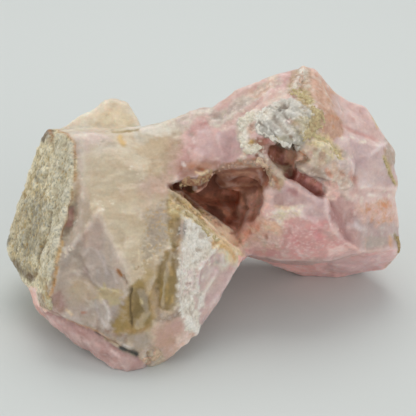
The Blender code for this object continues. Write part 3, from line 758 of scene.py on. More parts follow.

# Marks laid over the areas, some of them painted highlights and painted shade: name, line, half width in
# pixels, colour and strength.
MARKS = [
    # The white stroke on the flank is a painted highlight.
    ("flank_highlight", "350,226 362,228", 4, (222, 206, 204), 0.3),
    ("ridge_white", "338,190 346,193 352,200", 2.6, (230, 208, 198), 0.6),
    # edge_light is a painted highlight along the lower edge.
    ("edge_light", "250,256 278,261 304,263 336,260 360,252", 1.5, (224, 190, 184), 0.6),
    ("slot_rim", "286,182 298,190 312,198", 1.5, (224, 192, 182), 0.6),
    # slot_dark is painted shade along the slot.
    ("slot_dark", "289,174 302,181 316,190 321,194", 4.2, (128, 70, 62), 0.85),
    ("rim_orange", "213,243 222,243 230,251 234,258", 2.2, (196, 150, 96), 0.7),
    ("rim_root", "172,191 177,199 182,207", 4, (128, 104, 66), 0.75),
    ("mouth_dark", "171,187 178,183 186,182 190,186", 3.2, (112, 66, 46), 0.85),
    ("matrix_rim_high", "58,131 66,133 74,143 76,160 75,180", 1.3, (172, 124, 66), 0.85),
    ("matrix_rim_low", "73,192 67,216 61,238 58,256 54,274", 1.3, (160, 118, 70), 0.7),
    ("rim_crumbs", "62,242 60,252 56,262", 1.8, (196, 158, 100), 0.7),
    ("tip_rim_right", "57,268 54,284 49,298", 1.3, (186, 136, 70), 0.8),
    ("tip_rim_left", "47,286 44,296 47,306", 1, (188, 144, 84), 0.6),
    ("corner_dark", "42,138 46,131 50,131", 4, (100, 80, 58), 0.85),
    ("corner_rust", "49,130 52,136 51,141", 1.2, (160, 110, 60), 0.8),
    ("notch_dark", "36,176 40,182", 2.4, (120, 108, 84), 0.6),
    ("left_notch", "24,190 26,198", 1.6, (150, 120, 60), 0.6),
    ("left_edge_blue", "8,236 9,246", 1.6, (120, 120, 112), 0.7),
    ("foot_dark", "14,262 22,272 30,280", 2, (104, 84, 60), 0.6),
    ("low_corner_dark", "28,274 33,279", 2, (90, 62, 44), 0.75),
    ("crease_dark", "50,214 45,236 38,256 35,274", 1.2, (112, 104, 88), 0.55),
    ("crease_light", "55,232 48,250 44,272", 2.2, (218, 208, 182), 0.6),
    ("olive_crack", "112,130.6 120,132 128,131 138,130.4", 1.1, (146, 120, 62), 0.9),
    ("yellow_spot", "120,138 123,143", 3, (212, 178, 112), 0.75),
    ("dot_white_1", "183,163 184,166", 1.7, (226, 214, 206), 0.6),
    ("dot_white_2", "177,176 175,182", 1.6, (222, 206, 196), 0.55),
    ("dot_white_3", "193,138 194,142", 1.5, (228, 212, 206), 0.6),
    ("dot_white_4", "190,148 190,150", 1.3, (226, 210, 204), 0.55),
    ("shell_line_2", "84,268 92,279 102,288", 1.1, (212, 198, 190), 0.5),
    ("shell_line_3", "96,250 104,262 107,274", 1.4, (206, 194, 192), 0.4),
    ("shell_dark", "80,256 84,268 90,278", 1.2, (142, 118, 110), 0.35),
    ("round_line", "62,276 72,270 82,272", 1.3, (206, 190, 174), 0.4),
    ("white_crumb_1", "63,248 67,254", 1.6, (222, 212, 198), 0.55),
    ("white_crumb_2", "74,272 80,274", 1.3, (214, 204, 192), 0.45),
    ("brown_slit_1", "118.5,270 121,275", 1.7, (164, 108, 52), 0.95),
    ("brown_slit_2", "123,275 125,279 127,283", 0.8, (124, 86, 56), 0.75),
    ("brown_slit_3", "136,269 139,267", 1, (150, 112, 74), 0.7),
    ("yellow_line", "97,290 106,288 118,292", 0.9, (214, 200, 160), 0.6),
    ("chip_line_1", "103,300 108,308 110,316", 1.1, (216, 208, 202), 0.5),
    ("chip_line_2", "96,306 100,318 106,326", 1.3, (208, 198, 194), 0.4),
    ("olive_line_1", "131,288 130,302 132,324", 1, (92, 72, 40), 0.8),
    ("olive_line_2", "140,296 138,310", 1, (112, 90, 50), 0.4),
    ("olive_light_1", "141,300 142,303", 1.6, (212, 192, 140), 0.6),
    ("olive_light_2", "150,292 154,300", 1.8, (196, 172, 120), 0.5),
    ("olive_light_3", "170,264 172,274", 1.8, (190, 158, 102), 0.55),
    ("olive_cap", "165,252 173,249", 1.2, (150, 112, 60), 0.6),
    ("olive_foot", "126,330 140,332 148,326", 2, (168, 132, 84), 0.5),
    ("red_fleck", "81,314 85,313", 1, (172, 112, 86), 0.8),
    ("dark_inclusion_1", "96,332 99,335", 1.4, (64, 60, 58), 0.9),
    ("dark_inclusion_2", "122,347 128,351 136,355", 2.5, (44, 50, 52), 0.95),
    ("inclusion_light", "124,345 131,349", 0.9, (206, 196, 190), 0.6),
    ("orange_seam", "66,320 80,325 92,330 110,338", 1.2, (196, 150, 110), 0.6),
    ("seam_spots", "66,310 72,314", 1.3, (220, 196, 160), 0.6),
    ("tip_spots", "156,350 159,352", 1.4, (190, 138, 112), 0.6),
    ("tip_dark", "148,364 152,360", 1, (120, 96, 84), 0.5),
    # The ledge's pale strokes are painted highlights.
    ("ledge_highlight_1", "112,351 119,356", 1.8, (226, 202, 196), 0.6),
    ("ledge_highlight_2", "50,320 62,330", 2.6, (222, 180, 172), 0.45),
    ("ledge_highlight_3", "96,344 104,350", 2, (214, 178, 172), 0.4),
    ("ledge_groove", "72,326 82,334 90,340", 1.6, (160, 112, 106), 0.45),
    ("ledge_end_rose", "30,292 36,306 44,316", 2.2, (206, 142, 124), 0.5),
    ("bleb_ring", "218,252 222,250 226,254 227,262 223,266 218,262", 1.1, (204, 206, 194), 0.6),
    ("bleb", "222,256 222.5,261", 2.4, (192, 188, 178), 0.5),
    ("wedge_streak_1", "203,294 208,286 214,278", 1.7, (226, 218, 206), 0.65),
    ("wedge_streak_2", "198,304 206,296 212,286", 1.4, (220, 208, 198), 0.5),
    ("wedge_streak_3", "206,276 212,268", 2.2, (214, 204, 200), 0.4),
    ("wedge_rose", "230,268 234,270", 2.2, (208, 158, 146), 0.6),
    ("wedge_edge_light", "238,262 226,284 210,306", 1.2, (222, 204, 200), 0.45),
    ("chalk_line", "181,222 181,262 178,300", 1.3, (176, 150, 134), 0.5),
    ("chalk_corner", "186,318 192,326 197,330", 5, (232, 226, 216), 0.7),
    ("chalk_tan", "180,236 179,252", 1.6, (190, 156, 120), 0.45),
    ("rim_line", "172,190 186,196 200,208 216,220 232,232", 0.9, (216, 192, 164), 0.5),
    ("rim_shadow", "180,204 192,212 204,224", 1.2, (130, 104, 66), 0.45),
    ("rim_rust", "172,206 180,210", 1.4, (190, 140, 66), 0.7),
    ("rim_tip_line", "240,240 244,250 240,262", 1, (168, 146, 112), 0.5),
    ("orange_spot_1", "194,166 200,169 205,171", 1.5, (150, 84, 46), 0.9),
    ("orange_spot_2", "196,172 202,174 207,171", 1.6, (214, 186, 140), 0.7),
    ("orange_halo", "190,164 210,166", 3.4, (196, 146, 116), 0.45),
    ("dark_mouth", "172,187 178,182 184,184", 1.6, (84, 50, 38), 0.7),
    ("neck_ridge", "215,132 219,144 222,155", 1, (224, 196, 186), 0.25),
    ("neck_ridge_low", "206,158 214,160 222,156", 1, (216, 190, 176), 0.25),
    ("vein_white_1", "212,122 224,120 236,111", 1, (226, 214, 202), 0.5),
    ("vein_white_2", "244,98 256,92 270,84", 1, (228, 218, 206), 0.5),
    ("peak_line", "300,78 292,86 276,100", 1.4, (222, 206, 194), 0.45),
    ("round_tan_spot", "252,142 252,142.5", 2.9, (198, 162, 100), 0.9),
    ("round_tan_ring", "249,139 254,138.5 256,143 252,146 248,143", 0.8, (150, 112, 66), 0.6),
    ("tan_spot_2", "245,153 246,153.5", 2.2, (208, 170, 130), 0.6),
    ("orange_pit", "257,154.5 257,155", 2, (150, 88, 58), 0.85),
    ("knob_white_1", "240,128 246,120 254,116", 2.4, (234, 228, 214), 0.7),
    ("knob_white_2", "242,138 246,146 254,150", 2.2, (232, 224, 208), 0.7),
    ("flake_split", "281,110 289,120 298,131", 0.9, (150, 144, 134), 0.6),
    ("flake_vein_1", "264,112 276,124 292,142", 0.8, (176, 168, 156), 0.5),
    ("flake_vein_2", "272,110 284,124 298,142", 0.8, (184, 176, 164), 0.45),
    ("flake_gold_1", "278,139 282,142", 1.6, (204, 186, 140), 0.6),
    ("flake_brown", "296,148 302,145", 1.2, (160, 116, 84), 0.6),
    ("yellow_string_1", "310,134 320,137 330,143 336,152 342,159", 1.2, (212, 192, 130), 0.7),
    ("yellow_string_2", "306,144 318,144 326,152 334,158", 1, (210, 192, 140), 0.55),
    ("bowl_line", "322,117 330,115 338,119", 1.4, (190, 128, 98), 0.5),
    ("pit_peach_1", "327,170 331,176", 2.2, (196, 136, 110), 0.8),
    ("pit_peach_2", "342,172 344,175", 2.2, (200, 148, 126), 0.6),
    ("pit_peach_3", "350,174 354,180", 3, (196, 140, 122), 0.7),
    ("pit_peach_4", "354,184 357,192", 2.6, (196, 152, 140), 0.5),
    ("strut_rust", "274,176 277,182 278,188", 1.5, (180, 122, 90), 0.75),
    ("recess_pink", "289,190 295,194", 3.2, (176, 122, 122), 0.65),
    ("cheek_line_1", "342,124 352,131 366,136 378,141", 1.6, (220, 168, 152), 0.45),
    ("cheek_line_2", "372,153 380,146 388,142", 1.4, (228, 212, 208), 0.5),
    ("cheek_shadow", "346,127 360,133 376,138", 2, (192, 140, 138), 0.4),
    ("cheek_ridge", "342,98 345,120 348,146 352,164", 1.6, (220, 194, 184), 0.4),
    ("ridge_light", "356,187 376,187 394,189", 1.6, (228, 210, 204), 0.45),
    # The white speck on the ridge is a painted highlight.
    ("ridge_highlight", "370,195 376,196", 1.8, (236, 228, 220), 0.7),
    ("orange_dot_1", "383,204 386,206", 2, (204, 138, 96), 0.75),
    ("orange_dot_2", "383,217 384,218", 1.6, (204, 142, 100), 0.7),
    ("orange_dot_3", "376,211 377,212", 1.5, (206, 150, 112), 0.6),
    ("orange_dot_4", "378,222 380,224", 1.4, (210, 158, 122), 0.5),
    ("orange_dot_5", "390,236 391,246", 1.8, (214, 166, 120), 0.6),
    ("pane_edge", "365,238 365,251 388,251", 0.9, (206, 170, 150), 0.5),
    # The white spot by the pane is a painted highlight.
    ("pane_highlight", "356,224 360,228", 2.8, (220, 208, 208), 0.5),
    ("edge_crust_1", "384,157 387,163 389,169", 2, (190, 168, 110), 0.85),
    ("edge_crust_2", "389,171 392,177 396,184", 2.2, (188, 162, 108), 0.85),
    ("edge_crust_3", "395,234 399,244 399,256", 1.8, (150, 128, 86), 0.85),
    ("edge_crust_4", "394,260 385,267", 1.4, (158, 130, 92), 0.5),
    ("edge_high", "369,107 373,114 378,126", 2.2, (204, 178, 132), 0.8),
    ("scoop_edge_light", "325,200 327,216 332,229 340,240", 1.3, (222, 190, 184), 0.5),
    ("scoop_foot", "344,244 356,249", 2.2, (220, 168, 156), 0.6),
    ("shelf_orange_1", "276,206 290,209", 1.6, (218, 178, 132), 0.5),
    ("shelf_orange_2", "262,224 266,236", 2.2, (212, 172, 146), 0.5),
    ("pocket_1", "264,234 267,238", 2.2, (184, 126, 112), 0.5),
    ("hot_1", "312,228 320,238", 4, (208, 134, 136), 0.5),
    ("hot_2", "290,238 298,242", 4, (210, 140, 140), 0.45),
    ("low_white", "298,252 302,258", 2, (226, 214, 210), 0.5),
    # The pale stroke on the underside is painted light, standing in for light thrown up from the floor.
    ("underside_bounce_light", "262,266 290,269", 2, (206, 176, 174), 0.35),
    ("ledge_in_hollow", "222,186 236,184 258,184", 1.2, (206, 168, 138), 0.25),
    ("roof_streak", "222,176 240,172 258,174", 1.4, (196, 156, 130), 0.45),
    ("hollow_knob", "236,206 238,207", 2.4, (130, 84, 72), 0.5),
    ("hollow_fleck_1", "219,197 223,205", 1, (180, 140, 112), 0.5),
    ("hollow_fleck_2", "228,210 232,216", 1, (170, 126, 104), 0.45),
    ("wall_rib_1", "248,202 246,222 240,234", 1.6, (206, 164, 150), 0.4),
    ("wall_edge", "264,186 258,198 256,208", 1.3, (216, 188, 146), 0.3),
    # These three paint shade under the hollow's roof and at its corner, and paint light on its middle.
    ("roof_shade", "226,178 234,180", 3.2, (120, 74, 60), 0.45),
    ("roof_corner_shade", "260,174 262,184", 2.6, (124, 78, 66), 0.5),
    ("roof_light", "240,180 250,178", 3, (226, 168, 146), 0.5),
    ("edge_white", "81,134 82,150 84,168", 3, (208, 200, 184), 0.5),
    ("edge_brown", "78,178 80,190 77,200", 2.6, (176, 152, 130), 0.6),
    ("matrix_tip_brown", "49,138 51,142", 3, (146, 126, 96), 0.6),
    ("matrix_shade", "38,168 41,174", 3.2, (150, 140, 114), 0.5),
    ("matrix_pale", "60,166 59,184 60,192", 3, (210, 202, 176), 0.5),
    ("matrix_pale_low", "51,206 50,222", 3.4, (206, 200, 174), 0.5),
    ("cream_light", "138,140 146,139", 3.2, (216, 208, 192), 0.6),
    ("fin_shade", "117,131 124,129", 2.4, (182, 166, 132), 0.5),
    ("olive_brown", "168,216 171,226", 3, (132, 108, 74), 0.5),
]

# Sprinkled grains: name, outline, size in mm, share of the spots that are there, colour and strength.
SPRINKLES = [
    ("crown_flecks", "214,118 280,78 296,92 262,112 224,132", 0.7, 0.25, (228, 214, 200), 0.5),
    ("cheek_flecks", "296,140 356,150 350,200 320,190 292,168", 0.7, 0.25, (230, 210, 190), 0.45),
    ("belly_flecks", "262,206 330,210 350,250 280,258 250,246", 0.8, 0.2, (232, 208, 200), 0.45),
    ("matrix_olive", "40,150 60,160 58,220 44,262 26,270 10,244 22,200", 1.4, 0.3, (150, 134, 92), 0.5),
    ("sugar", "146,210 168,198 174,222 168,248 146,268 138,250", 0.7, 0.4, (186, 154, 104), 0.6),
    ("sugar_white", "130,258 150,240 168,244 162,262 146,274 132,272", 0.7, 0.4, (220, 206, 178), 0.6),
    ("cream_chips", "92,196 116,200 112,211 98,211", 0.8, 0.4, (232, 226, 214), 0.6),
    ("cream_chips_high", "126,166 140,162 140,174 130,176", 0.7, 0.3, (230, 222, 210), 0.5),
    ("belly_glints", "280,226 312,224 320,246 296,256 280,244", 0.6, 0.35, (230, 206, 202), 0.5),
    ("shelf_glints", "264,212 280,204 302,206 300,216 272,230", 0.7, 0.4, (236, 222, 198), 0.6),
    ("matrix_dark", "40,128 74,140 75,180 56,262 40,288 4,262 6,234 22,190", 0.6, 0.3, (112, 108, 96), 0.6),
    ("matrix_blue", "40,150 60,160 52,220 40,250 22,264 12,240 28,196", 0.9, 0.25, MATRIX_BLUE, 0.35),
    ("matrix_light", "46,132 74,144 75,180 60,250 44,290 40,220", 0.8, 0.3, (226, 218, 196), 0.4),
    ("matrix_gold", "20,190 60,132 74,160 66,220 50,290 6,250", 0.7, 0.15, (182, 148, 82), 0.6),
    ("rim_dark", "170,188 182,190 214,218 224,226 206,222 172,200", 0.6, 0.45, (112, 92, 58), 0.6),
    ("rim_light", "168,200 184,206 222,244 214,248 184,216", 0.8, 0.35, (224, 200, 150), 0.6),
    ("crust_light", "292,86 324,112 322,124 340,152 336,160 300,140 300,104", 0.7, 0.4, (226, 214, 176), 0.6),
    ("crust_dark", "292,86 324,112 322,124 306,138 298,130 300,104", 0.7, 0.2, (150, 124, 74), 0.6),
    ("knob_light", "238,122 258,112 262,138 276,170 262,164 238,148", 0.8, 0.25, (232, 222, 204), 0.5),
    ("chalk_light", "181,219 221,242 196,276 203,326 188,334 178,300", 0.9, 0.35, (238, 234, 226), 0.7),
    ("chalk_dark", "181,219 221,242 196,276 203,326 188,334 178,300", 0.7, 0.12, (168, 156, 140), 0.2),
    ("flake_light", "256,124 274,104 312,112 300,148 272,139", 0.9, 0.3, (236, 232, 222), 0.6),
    ("groove_light", "60,240 68,234 74,250 64,262 58,258", 0.8, 0.4, (224, 212, 188), 0.6),
    ("edge_gold", "384,196 394,200 392,226 378,226 370,210", 0.7, 0.2, (208, 150, 108), 0.6),
    ("hollow_light", "206,184 262,180 258,230 236,236", 0.9, 0.2, (190, 148, 126), 0.5),
]

# Small pits: name, centre and radius in pixels, and depth in mm.
PITS = [
    ("knob_ring", 252, 142, 3.2, 0.35), ("orange_pit", 257, 155, 2.2, 0.6), ("middle_left", 329, 173, 3, 0.5),
    ("middle_right", 343, 173, 3, 0.35), ("cheek_foot", 352, 177, 4, 0.45), ("ridge", 356, 188, 3.2, 0.3),
    ("recess", 292, 192, 5, 0.5), ("strut", 276, 182, 2.6, 0.5), ("slit", 122, 277, 2, 0.4),
    ("mound", 315, 150, 3, 0.35), ("orange_spot", 199, 169, 3.6, 0.4), ("wall", 246, 208, 3.5, 0.5),
    ("hollow_end", 229, 221, 4.5, 0.8), ("belly_pocket", 266, 237, 3.4, 0.4),
    ("knob_hollow", 250, 128, 3.4, 0.5), ("chalk_high", 198, 250, 3.4, 0.5), ("chalk_low", 189, 284, 3, 0.5),
    ("chalk_side", 209, 262, 2.4, 0.3), ("bleb", 222, 258, 5.6, 0.25), ("mound_right", 320, 158, 2.6, 0.3),
    ("slot_end", 334, 184, 3, 0.3),
]

# Ridges (above 0) and grooves (below 0): name, half width in pixels, height in mm, and line.
FOLDS = [
    ("slot_groove", 3.2, -1.1, "290,175 304,183 318,191"),
    ("pit_fill", 5, 1.8, "300,150 303,158 300,166"),
    ("flake_pit", 3.4, -0.7, "281,104 286,106"),
    ("flake_tip", 3, 0.8, "272,141 286,144 300,147"),
    ("mouth", 3, -1.2, "173,187 181,185 190,188"),
    ("olive_slot", 1.6, -0.6, "131,288 130,304 132,326"),
    ("olive_step", 3, -0.6, "162,258 158,280 152,300"),
    ("olive_rib", 2.4, 0.5, "172,250 166,278 162,306"),
    ("olive_belly", 4.5, 0.7, "142,292 146,312 140,326"),
    ("fin_foot", 1.8, -0.2, "58,129.5 90,130.5 112,131.5 128,132 140,129"),
    ("fin_peak", 7, 0.9, "104,100 117,96 126,101"),
    ("slit", 1.5, -0.25, "118,271 122,276 126,283"),
    ("grey_ridge_left", 3.4, 0.2, "99,214 88,228 70,248"),
    ("grey_ridge_right", 3.6, 0.25, "100,214 112,240 127,268"),
    ("shell_rim", 2.4, 0.22, "83,254 91,247 102,253 112,268 117,282"),
    ("shell_foot", 3, -0.25, "82,262 88,276 98,288 106,294"),
    ("round_foot", 3, -0.22, "64,276 78,272 92,282 104,294 112,314"),
    ("chips", 2.4, 0.3, "102,300 110,312 108,330"),
    ("chips_foot", 2.6, -0.25, "94,302 100,316 98,330"),
    ("seam", 2, -0.4, "48,313 66,320.5 86,328.5 97,334.5 120,350 138,358"),
    ("ledge_dip_1", 4.5, -0.4, "72,326 80,336"),
    ("ledge_dip_2", 4, -0.4, "100,342 106,356"),
    ("ledge_rib", 4, 0.25, "52,322 76,338 98,352"),
    ("tip_notch", 2.2, -0.9, "146,370 150,362 148,354"),
    ("wedge_ridge", 1.8, 0.6, "182,218 182,240 180,268 178,300"),
    ("chalk_side", 2, 0.6, "220,243 206,260 198,270 197,292"),
    ("wedge_rib_1", 2, 0.45, "202,298 208,287 217,272"),
    ("wedge_rib_2", 2.6, -0.4, "204,276 212,266 218,262"),
    ("chalk_foot", 3.6, 0.8, "186,318 192,326 196,332"),
    ("rim_front_ridge", 1.8, 0.5, "172,206 188,213 204,229 218,240 236,254"),
    ("rim_groove", 1.8, -0.5, "178,200 192,209 206,222 222,234"),
    ("rim_back_ridge", 1.4, 0.4, "180,191 197,206 214,219 232,231"),
    ("bleb", 3, 0.5, "222,255 222,262"),
    ("neck_ridge", 3.6, 0.2, "215,130 219,144 222,156 212,160"),
    ("neck_dip", 4, -0.3, "188,130 192,144 186,160"),
    ("vein_groove", 3.6, -0.2, "214,119 230,110 248,99 266,87 278,78"),
    ("vein_lip", 2.4, 0.2, "218,126 236,114 252,103 270,91"),
    ("cheek_groove", 3.2, -0.35, "342,124 352,132 366,137 378,142"),
    ("cheek_rib", 3, 0.25, "372,154 380,147 388,141"),
    ("cheek_foot", 4, 0.3, "352,186 372,187 396,189"),
    ("cheek_step", 4, -0.3, "362,112 366,124 376,134"),
    ("scoop_lip", 2, 0.35, "325,196 327,216 332,229 344,242 360,250"),
    ("shelf_foot", 3, -0.2, "266,208 280,203 300,202 312,206"),
    ("shelf_lip", 2.2, 0.5, "266,216 280,210 298,210"),
    ("belly_step", 3, -0.15, "276,226 284,238 282,252"),
    ("belly_rib", 2.2, 0.35, "300,214 314,222 330,232"),
    ("lower_ridge", 1.6, 0.3, "246,253 278,260.5 304,262.5 336,259.5 362,251.5 394,248"),
    ("peak_ridge", 2.4, 0.5, "303,68 296,84 290,98"),
    ("crown_step", 3.6, -0.2, "326,84 332,96 344,110 344,122"),
    ("crown_dip", 3.4, -0.2, "312,82 320,94 322,106"),
    ("crown_slope", 2.6, 0.35, "268,96 256,108 240,122"),
    ("flake_split", 1.6, -0.25, "276,106 284,114 292,124 300,134"),
    ("flake_layer_1", 1.4, 0.4, "262,114 276,126 290,142"),
    ("flake_layer_2", 1.4, 0.4, "270,109 283,122 297,140"),
    ("flake_layer_3", 1.3, -0.4, "259,122 270,132 282,143"),
    ("flake_crack", 1.6, -0.2, "288,101 292,108 302,114"),
    ("slot_lip", 1.6, 0.5, "288,170 304,169 316,178 328,187"),
    ("strut_rib", 2, 0.5, "268,160 274,170 282,178"),
    ("mound_step", 2.6, -0.2, "304,146 318,152 328,164"),
    ("mound_lip", 2, 0.4, "312,140 328,146 338,158"),
    ("hollow_ledge", 2, 0.35, "220,187 236,184.5 258,184"),
    ("hollow_under", 2.6, -0.2, "222,191 242,189 254,190"),
    ("hollow_rib_1", 3, 0.3, "248,198 247,216 240,234"),
    ("hollow_rib_2", 3, -0.2, "254,196 254,214 248,232"),
    ("hollow_rib_3", 2, 0.35, "258,170 262,182 256,196"),
    ("hollow_knob", 3.2, 0.7, "236,205 238,208"),
    ("hollow_step", 3, 0.3, "208,196 222,200 230,212"),
    ("crease", 2, -0.9, "50,212 45,236 38,256 35,276"),
    ("crease_side", 4, 0.6, "56,230 49,250 44,274"),
    ("matrix_rib_1", 2.6, 0.5, "62,150 54,180 50,206"),
    ("matrix_rib_2", 2.4, -0.5, "54,146 46,172 40,196"),
    ("matrix_rib_3", 2.8, 0.5, "38,170 28,204 20,236"),
    ("matrix_rib_4", 2.4, -0.4, "34,214 26,240 24,256"),
    ("groove_dip", 2.4, -0.8, "71,208 69,222 63,238"),
    ("wall_fill", 6, 1.3, "267,194 269,204 264,212"),
]

# Lips that weather has rounded: name, half width in pixels, and line.
WORN_LIPS = [
    ("roof", 4, "206,178 220,172 244,165 268,166"),
    ("strut", 4, "270,150 282,166 296,168"),
    ("wall", 4, "262,182 258,204 260,220"),
]

# Crusts of small lumps: name, two tones, number of lumps, smallest and largest radius in mm, spread in
# pixels, how far they hang in mm, and the line they grow along.
CRUSTS = [
    ("roof_left", BROWN, TAN, 90, 0.35, 0.8, 2.2, 1.4, "179,184 188,181 196,181 204,177 212,172"),
    ("roof_middle", PEACH, SALMON, 26, 0.2, 0.6, 2.6, 0.4, "212,172 230,166 246,162 262,162"),
    ("strut_left", APRICOT, PEACH, 80, 0.3, 0.7, 2.4, 0.8, "258,158 264,164 270,172 271,184"),
    ("flake_fringe", CHALK, IVORY, 110, 0.25, 0.5, 1.6, 0.5,
     "258,131 266,135 274,138 282,143 290,146 300,148"),
    ("flake_tip", CHALK, IVORY, 36, 0.3, 0.6, 1.6, 0.8, "284,143 292,146 299,147"),
    ("flake_left", CHALK, IVORY, 30, 0.25, 0.5, 2, 0, "257,130 258,118 266,108"),
    ("knobs_high", IVORY, CREAM_PALE, 40, 0.4, 0.9, 3, 0, "240,130 244,121 254,116"),
    ("knobs_low", IVORY, CREAM_PALE, 46, 0.35, 0.8, 3, 0, "241,138 246,148 254,150 258,145"),
    ("yellow_high", BUTTER, KHAKI, 70, 0.25, 0.5, 3, 0, "293,90 302,94 310,102"),
    ("yellow_right", BUTTER, TAN, 160, 0.3, 0.6, 3.6, 0, "312,106 320,114 317,124 309,132 303,138"),
    ("yellow_trail", YELLOW, BUTTER, 70, 0.25, 0.5, 2, 0, "311,134 321,138 330,144 336,152 341,160"),
    ("peak", PEACH, CREAM_PINK, 36, 0.3, 0.6, 3.6, 0, "302,74 300,84 298,94"),
    ("edge_high", YELLOW, KHAKI, 40, 0.3, 0.6, 0.8, 0, "384,158 387,166 391,176 395,184"),
    ("edge_low", OLIVE, TAN, 30, 0.3, 0.6, 0.8, 0, "397,236 399,246 399,254"),
    ("rim", TAN, BUTTER, 60, 0.3, 0.6, 1.8, 0, "172,204 182,208 192,216 204,230 218,241"),
    ("low_tip", CREAM_TAN, PEACH, 50, 0.35, 0.8, 2.6, 0, "144,360 152,360 160,352"),
    ("matrix_low", MATRIX, KHAKI, 40, 0.35, 0.8, 1.6, 0, "44,290 48,300 50,308"),
]

# What the camera doesn't see: kind, tones, centre and radius.
FAR_PATCHES = [
    ("wax", (CREAM, CREAM_TAN, IVORY), (-46, 6, 30), 26),
    ("wax", (CREAM_PINK, GREY_LILAC, IVORY), (-24, 26, 40), 16),
    ("wax", (PINK_HOT, PINK_DEEP, PINK), (30, 28, 22), 12),
    ("wax", (LILAC, PINK_PALE, IVORY), (40, 8, 50), 14),
    ("wax", (PEACH, CREAM_PINK, APRICOT), (12, 24, 52), 12),
    ("wax", (SALMON, ROSE, PINK_DEEP), (-6, 20, 6), 14),
    ("satin", (PEACH, CREAM_PINK, ORANGE), (-14, 26, 20), 8),
    ("satin", (CREAM_PALE, PINK_PALE, APRICOT), (44, 20, 34), 6),
    ("honey", (OLIVE, HONEY, OLIVE_DARK), (-28, 26, 12), 7),
    ("matrix", (MATRIX, MATRIX_SAND, MATRIX_GREY), (-42, 18, 20), 14),
    ("matrix", (MATRIX_SAND, TAN, IVORY), (22, 30, 44), 7),
    ("chalk", (CHALK, IVORY, CHALK_GREY), (6, 27, 28), 8),
    ("rind", (TAN, OLIVE, GOLD), (44, 24, 10), 7),
]
# By turns, a patch is squeezed along the stone or up it.
FAR_STRETCHES = [(1.25, 1.0, 0.7), (0.65, 1.0, 1.3)]

# Veins that run round the far side: direction across, place along that, half width, colour and strength.
FAR_VEINS = [
    ((0.8, 0.2, 0.55), 30.0, 0.7, IVORY, 0.7),
    ((0.75, 0.1, 0.65), 22.0, 0.4, CREAM_PINK, 0.6),
    ((0.5, 0.1, -0.85), -38.0, 0.8, PEACH, 0.6),
    ((0.3, 0.2, 0.93), 30.0, 0.5, CHALK, 0.5),
    ((-0.6, 0.1, 0.8), 44.0, 1.0, GREY_LILAC, 0.6),
    ((0.95, 0.0, -0.3), -24.0, 0.6, GOLD, 0.6),
    ((0.9, 0.0, 0.4), -16.0, 1.1, PINK_PALE, 0.6),
    ((0.2, 0.0, 0.98), 13.0, 0.8, MAUVE, 0.5),
]


# ---------------------------------------------------------------- laying out the front


def path(text):
    """The points of an outline or line."""
    return [tuple(float(part) for part in point.split(",")) for point in text.split()]


def stretch_gap(x, y, start, end):
    """Distance of places in the picture from the stretch between two points."""
    (ax, ay), (bx, by) = start, end
    along_x, along_y = bx - ax, by - ay
    length = max(along_x**2 + along_y**2, 1e-9)
    share = np.clip(((x - ax) * along_x + (y - ay) * along_y) / length, 0, 1)
    return np.hypot(x - ax - share * along_x, y - ay - share * along_y)


class Noise:
    """Smooth noise at a few sizes, worked out once for a set of points and used again."""

    VARIANTS = 5

    def __init__(self, points):
        self.points = points
        self.kept = {}

    def get(self, size, seed, way="even"):
        key = (size, seed % self.VARIANTS, way)
        if key not in self.kept:
            squeeze, axis = WAYS[way]
            axis = np.array(axis)
            along = self.points @ axis
            place = self.points - squeeze * along[:, None] * axis
            self.kept[key] = layers(place, size, 13 + 101 * key[1])
        return self.kept[key]


class Front:
    """Where every point of the skin falls in the camera's view, and how much the camera sees of it."""

    def __init__(self, points, normals, tree):
        seen = seen_from_camera(points, normals, tree)
        index = point_index({number: points[number] for number in np.nonzero(seen)[0].tolist()})
        source = np.arange(len(points))
        reach = np.zeros(len(points))
        for number in np.nonzero(~seen)[0]:
            _, source[number], reach[number] = index.find(Vector(points[number]))
        self.across, self.down = picture_place(points[source])
        self.share = np.exp(-((reach / FRONT_REACH) ** 2))
        self.points = points
        self.noise = Noise(points)
        self.count = len(points)

    def wobbled(self, amount, seed):
        """The points' places in the picture, shifted by about this many pixels."""
        if not amount:
            return self.across, self.down
        noise = self.noise.get
        shift_across = amount * (1.4 * noise(WIDE, seed) + 0.9 * noise(FINE, seed + 1))
        shift_down = amount * (1.4 * noise(WIDE, seed + 2) + 0.9 * noise(FINE, seed + 3))
        return self.across + shift_across, self.down + shift_down

    def area(self, outline, soft, wobble, seed):
        """1 inside an outline, 0 outside, eased over the border."""
        x, y = self.wobbled(wobble, seed)
        inside = np.zeros(self.count, bool)
        gap = np.full(self.count, FAR_OFF)
        corners = path(outline)
        for start, end in zip(corners, corners[1:] + corners[:1]):
            gap = np.minimum(gap, stretch_gap(x, y, start, end))
            (ax, ay), (bx, by) = start, end
            if ay != by:
                crosses = (ay > y) != (by > y)
                inside ^= crosses & (x < (bx - ax) * (y - ay) / (by - ay) + ax)
        return rise(np.where(inside, gap, -gap), -soft / 2, soft / 2)

    def line(self, stroke, wobble, seed):
        """Distance in pixels from a line."""
        x, y = self.wobbled(wobble, seed)
        return np.minimum.reduce([stretch_gap(x, y, *ends) for ends in itertools.pairwise(path(stroke))])


def linear(colour):
    """A 0 to 255 colour as Blender's linear one."""
    part = np.array(colour, float) / 255
    return np.where(part <= 0.04045, part / 12.92, ((part + 0.055) / 1.055) ** 2.4)


def mixed(under, over, share):
    """One set of colours with a share of another laid over it."""
    return under + (over - under) * share[:, None]


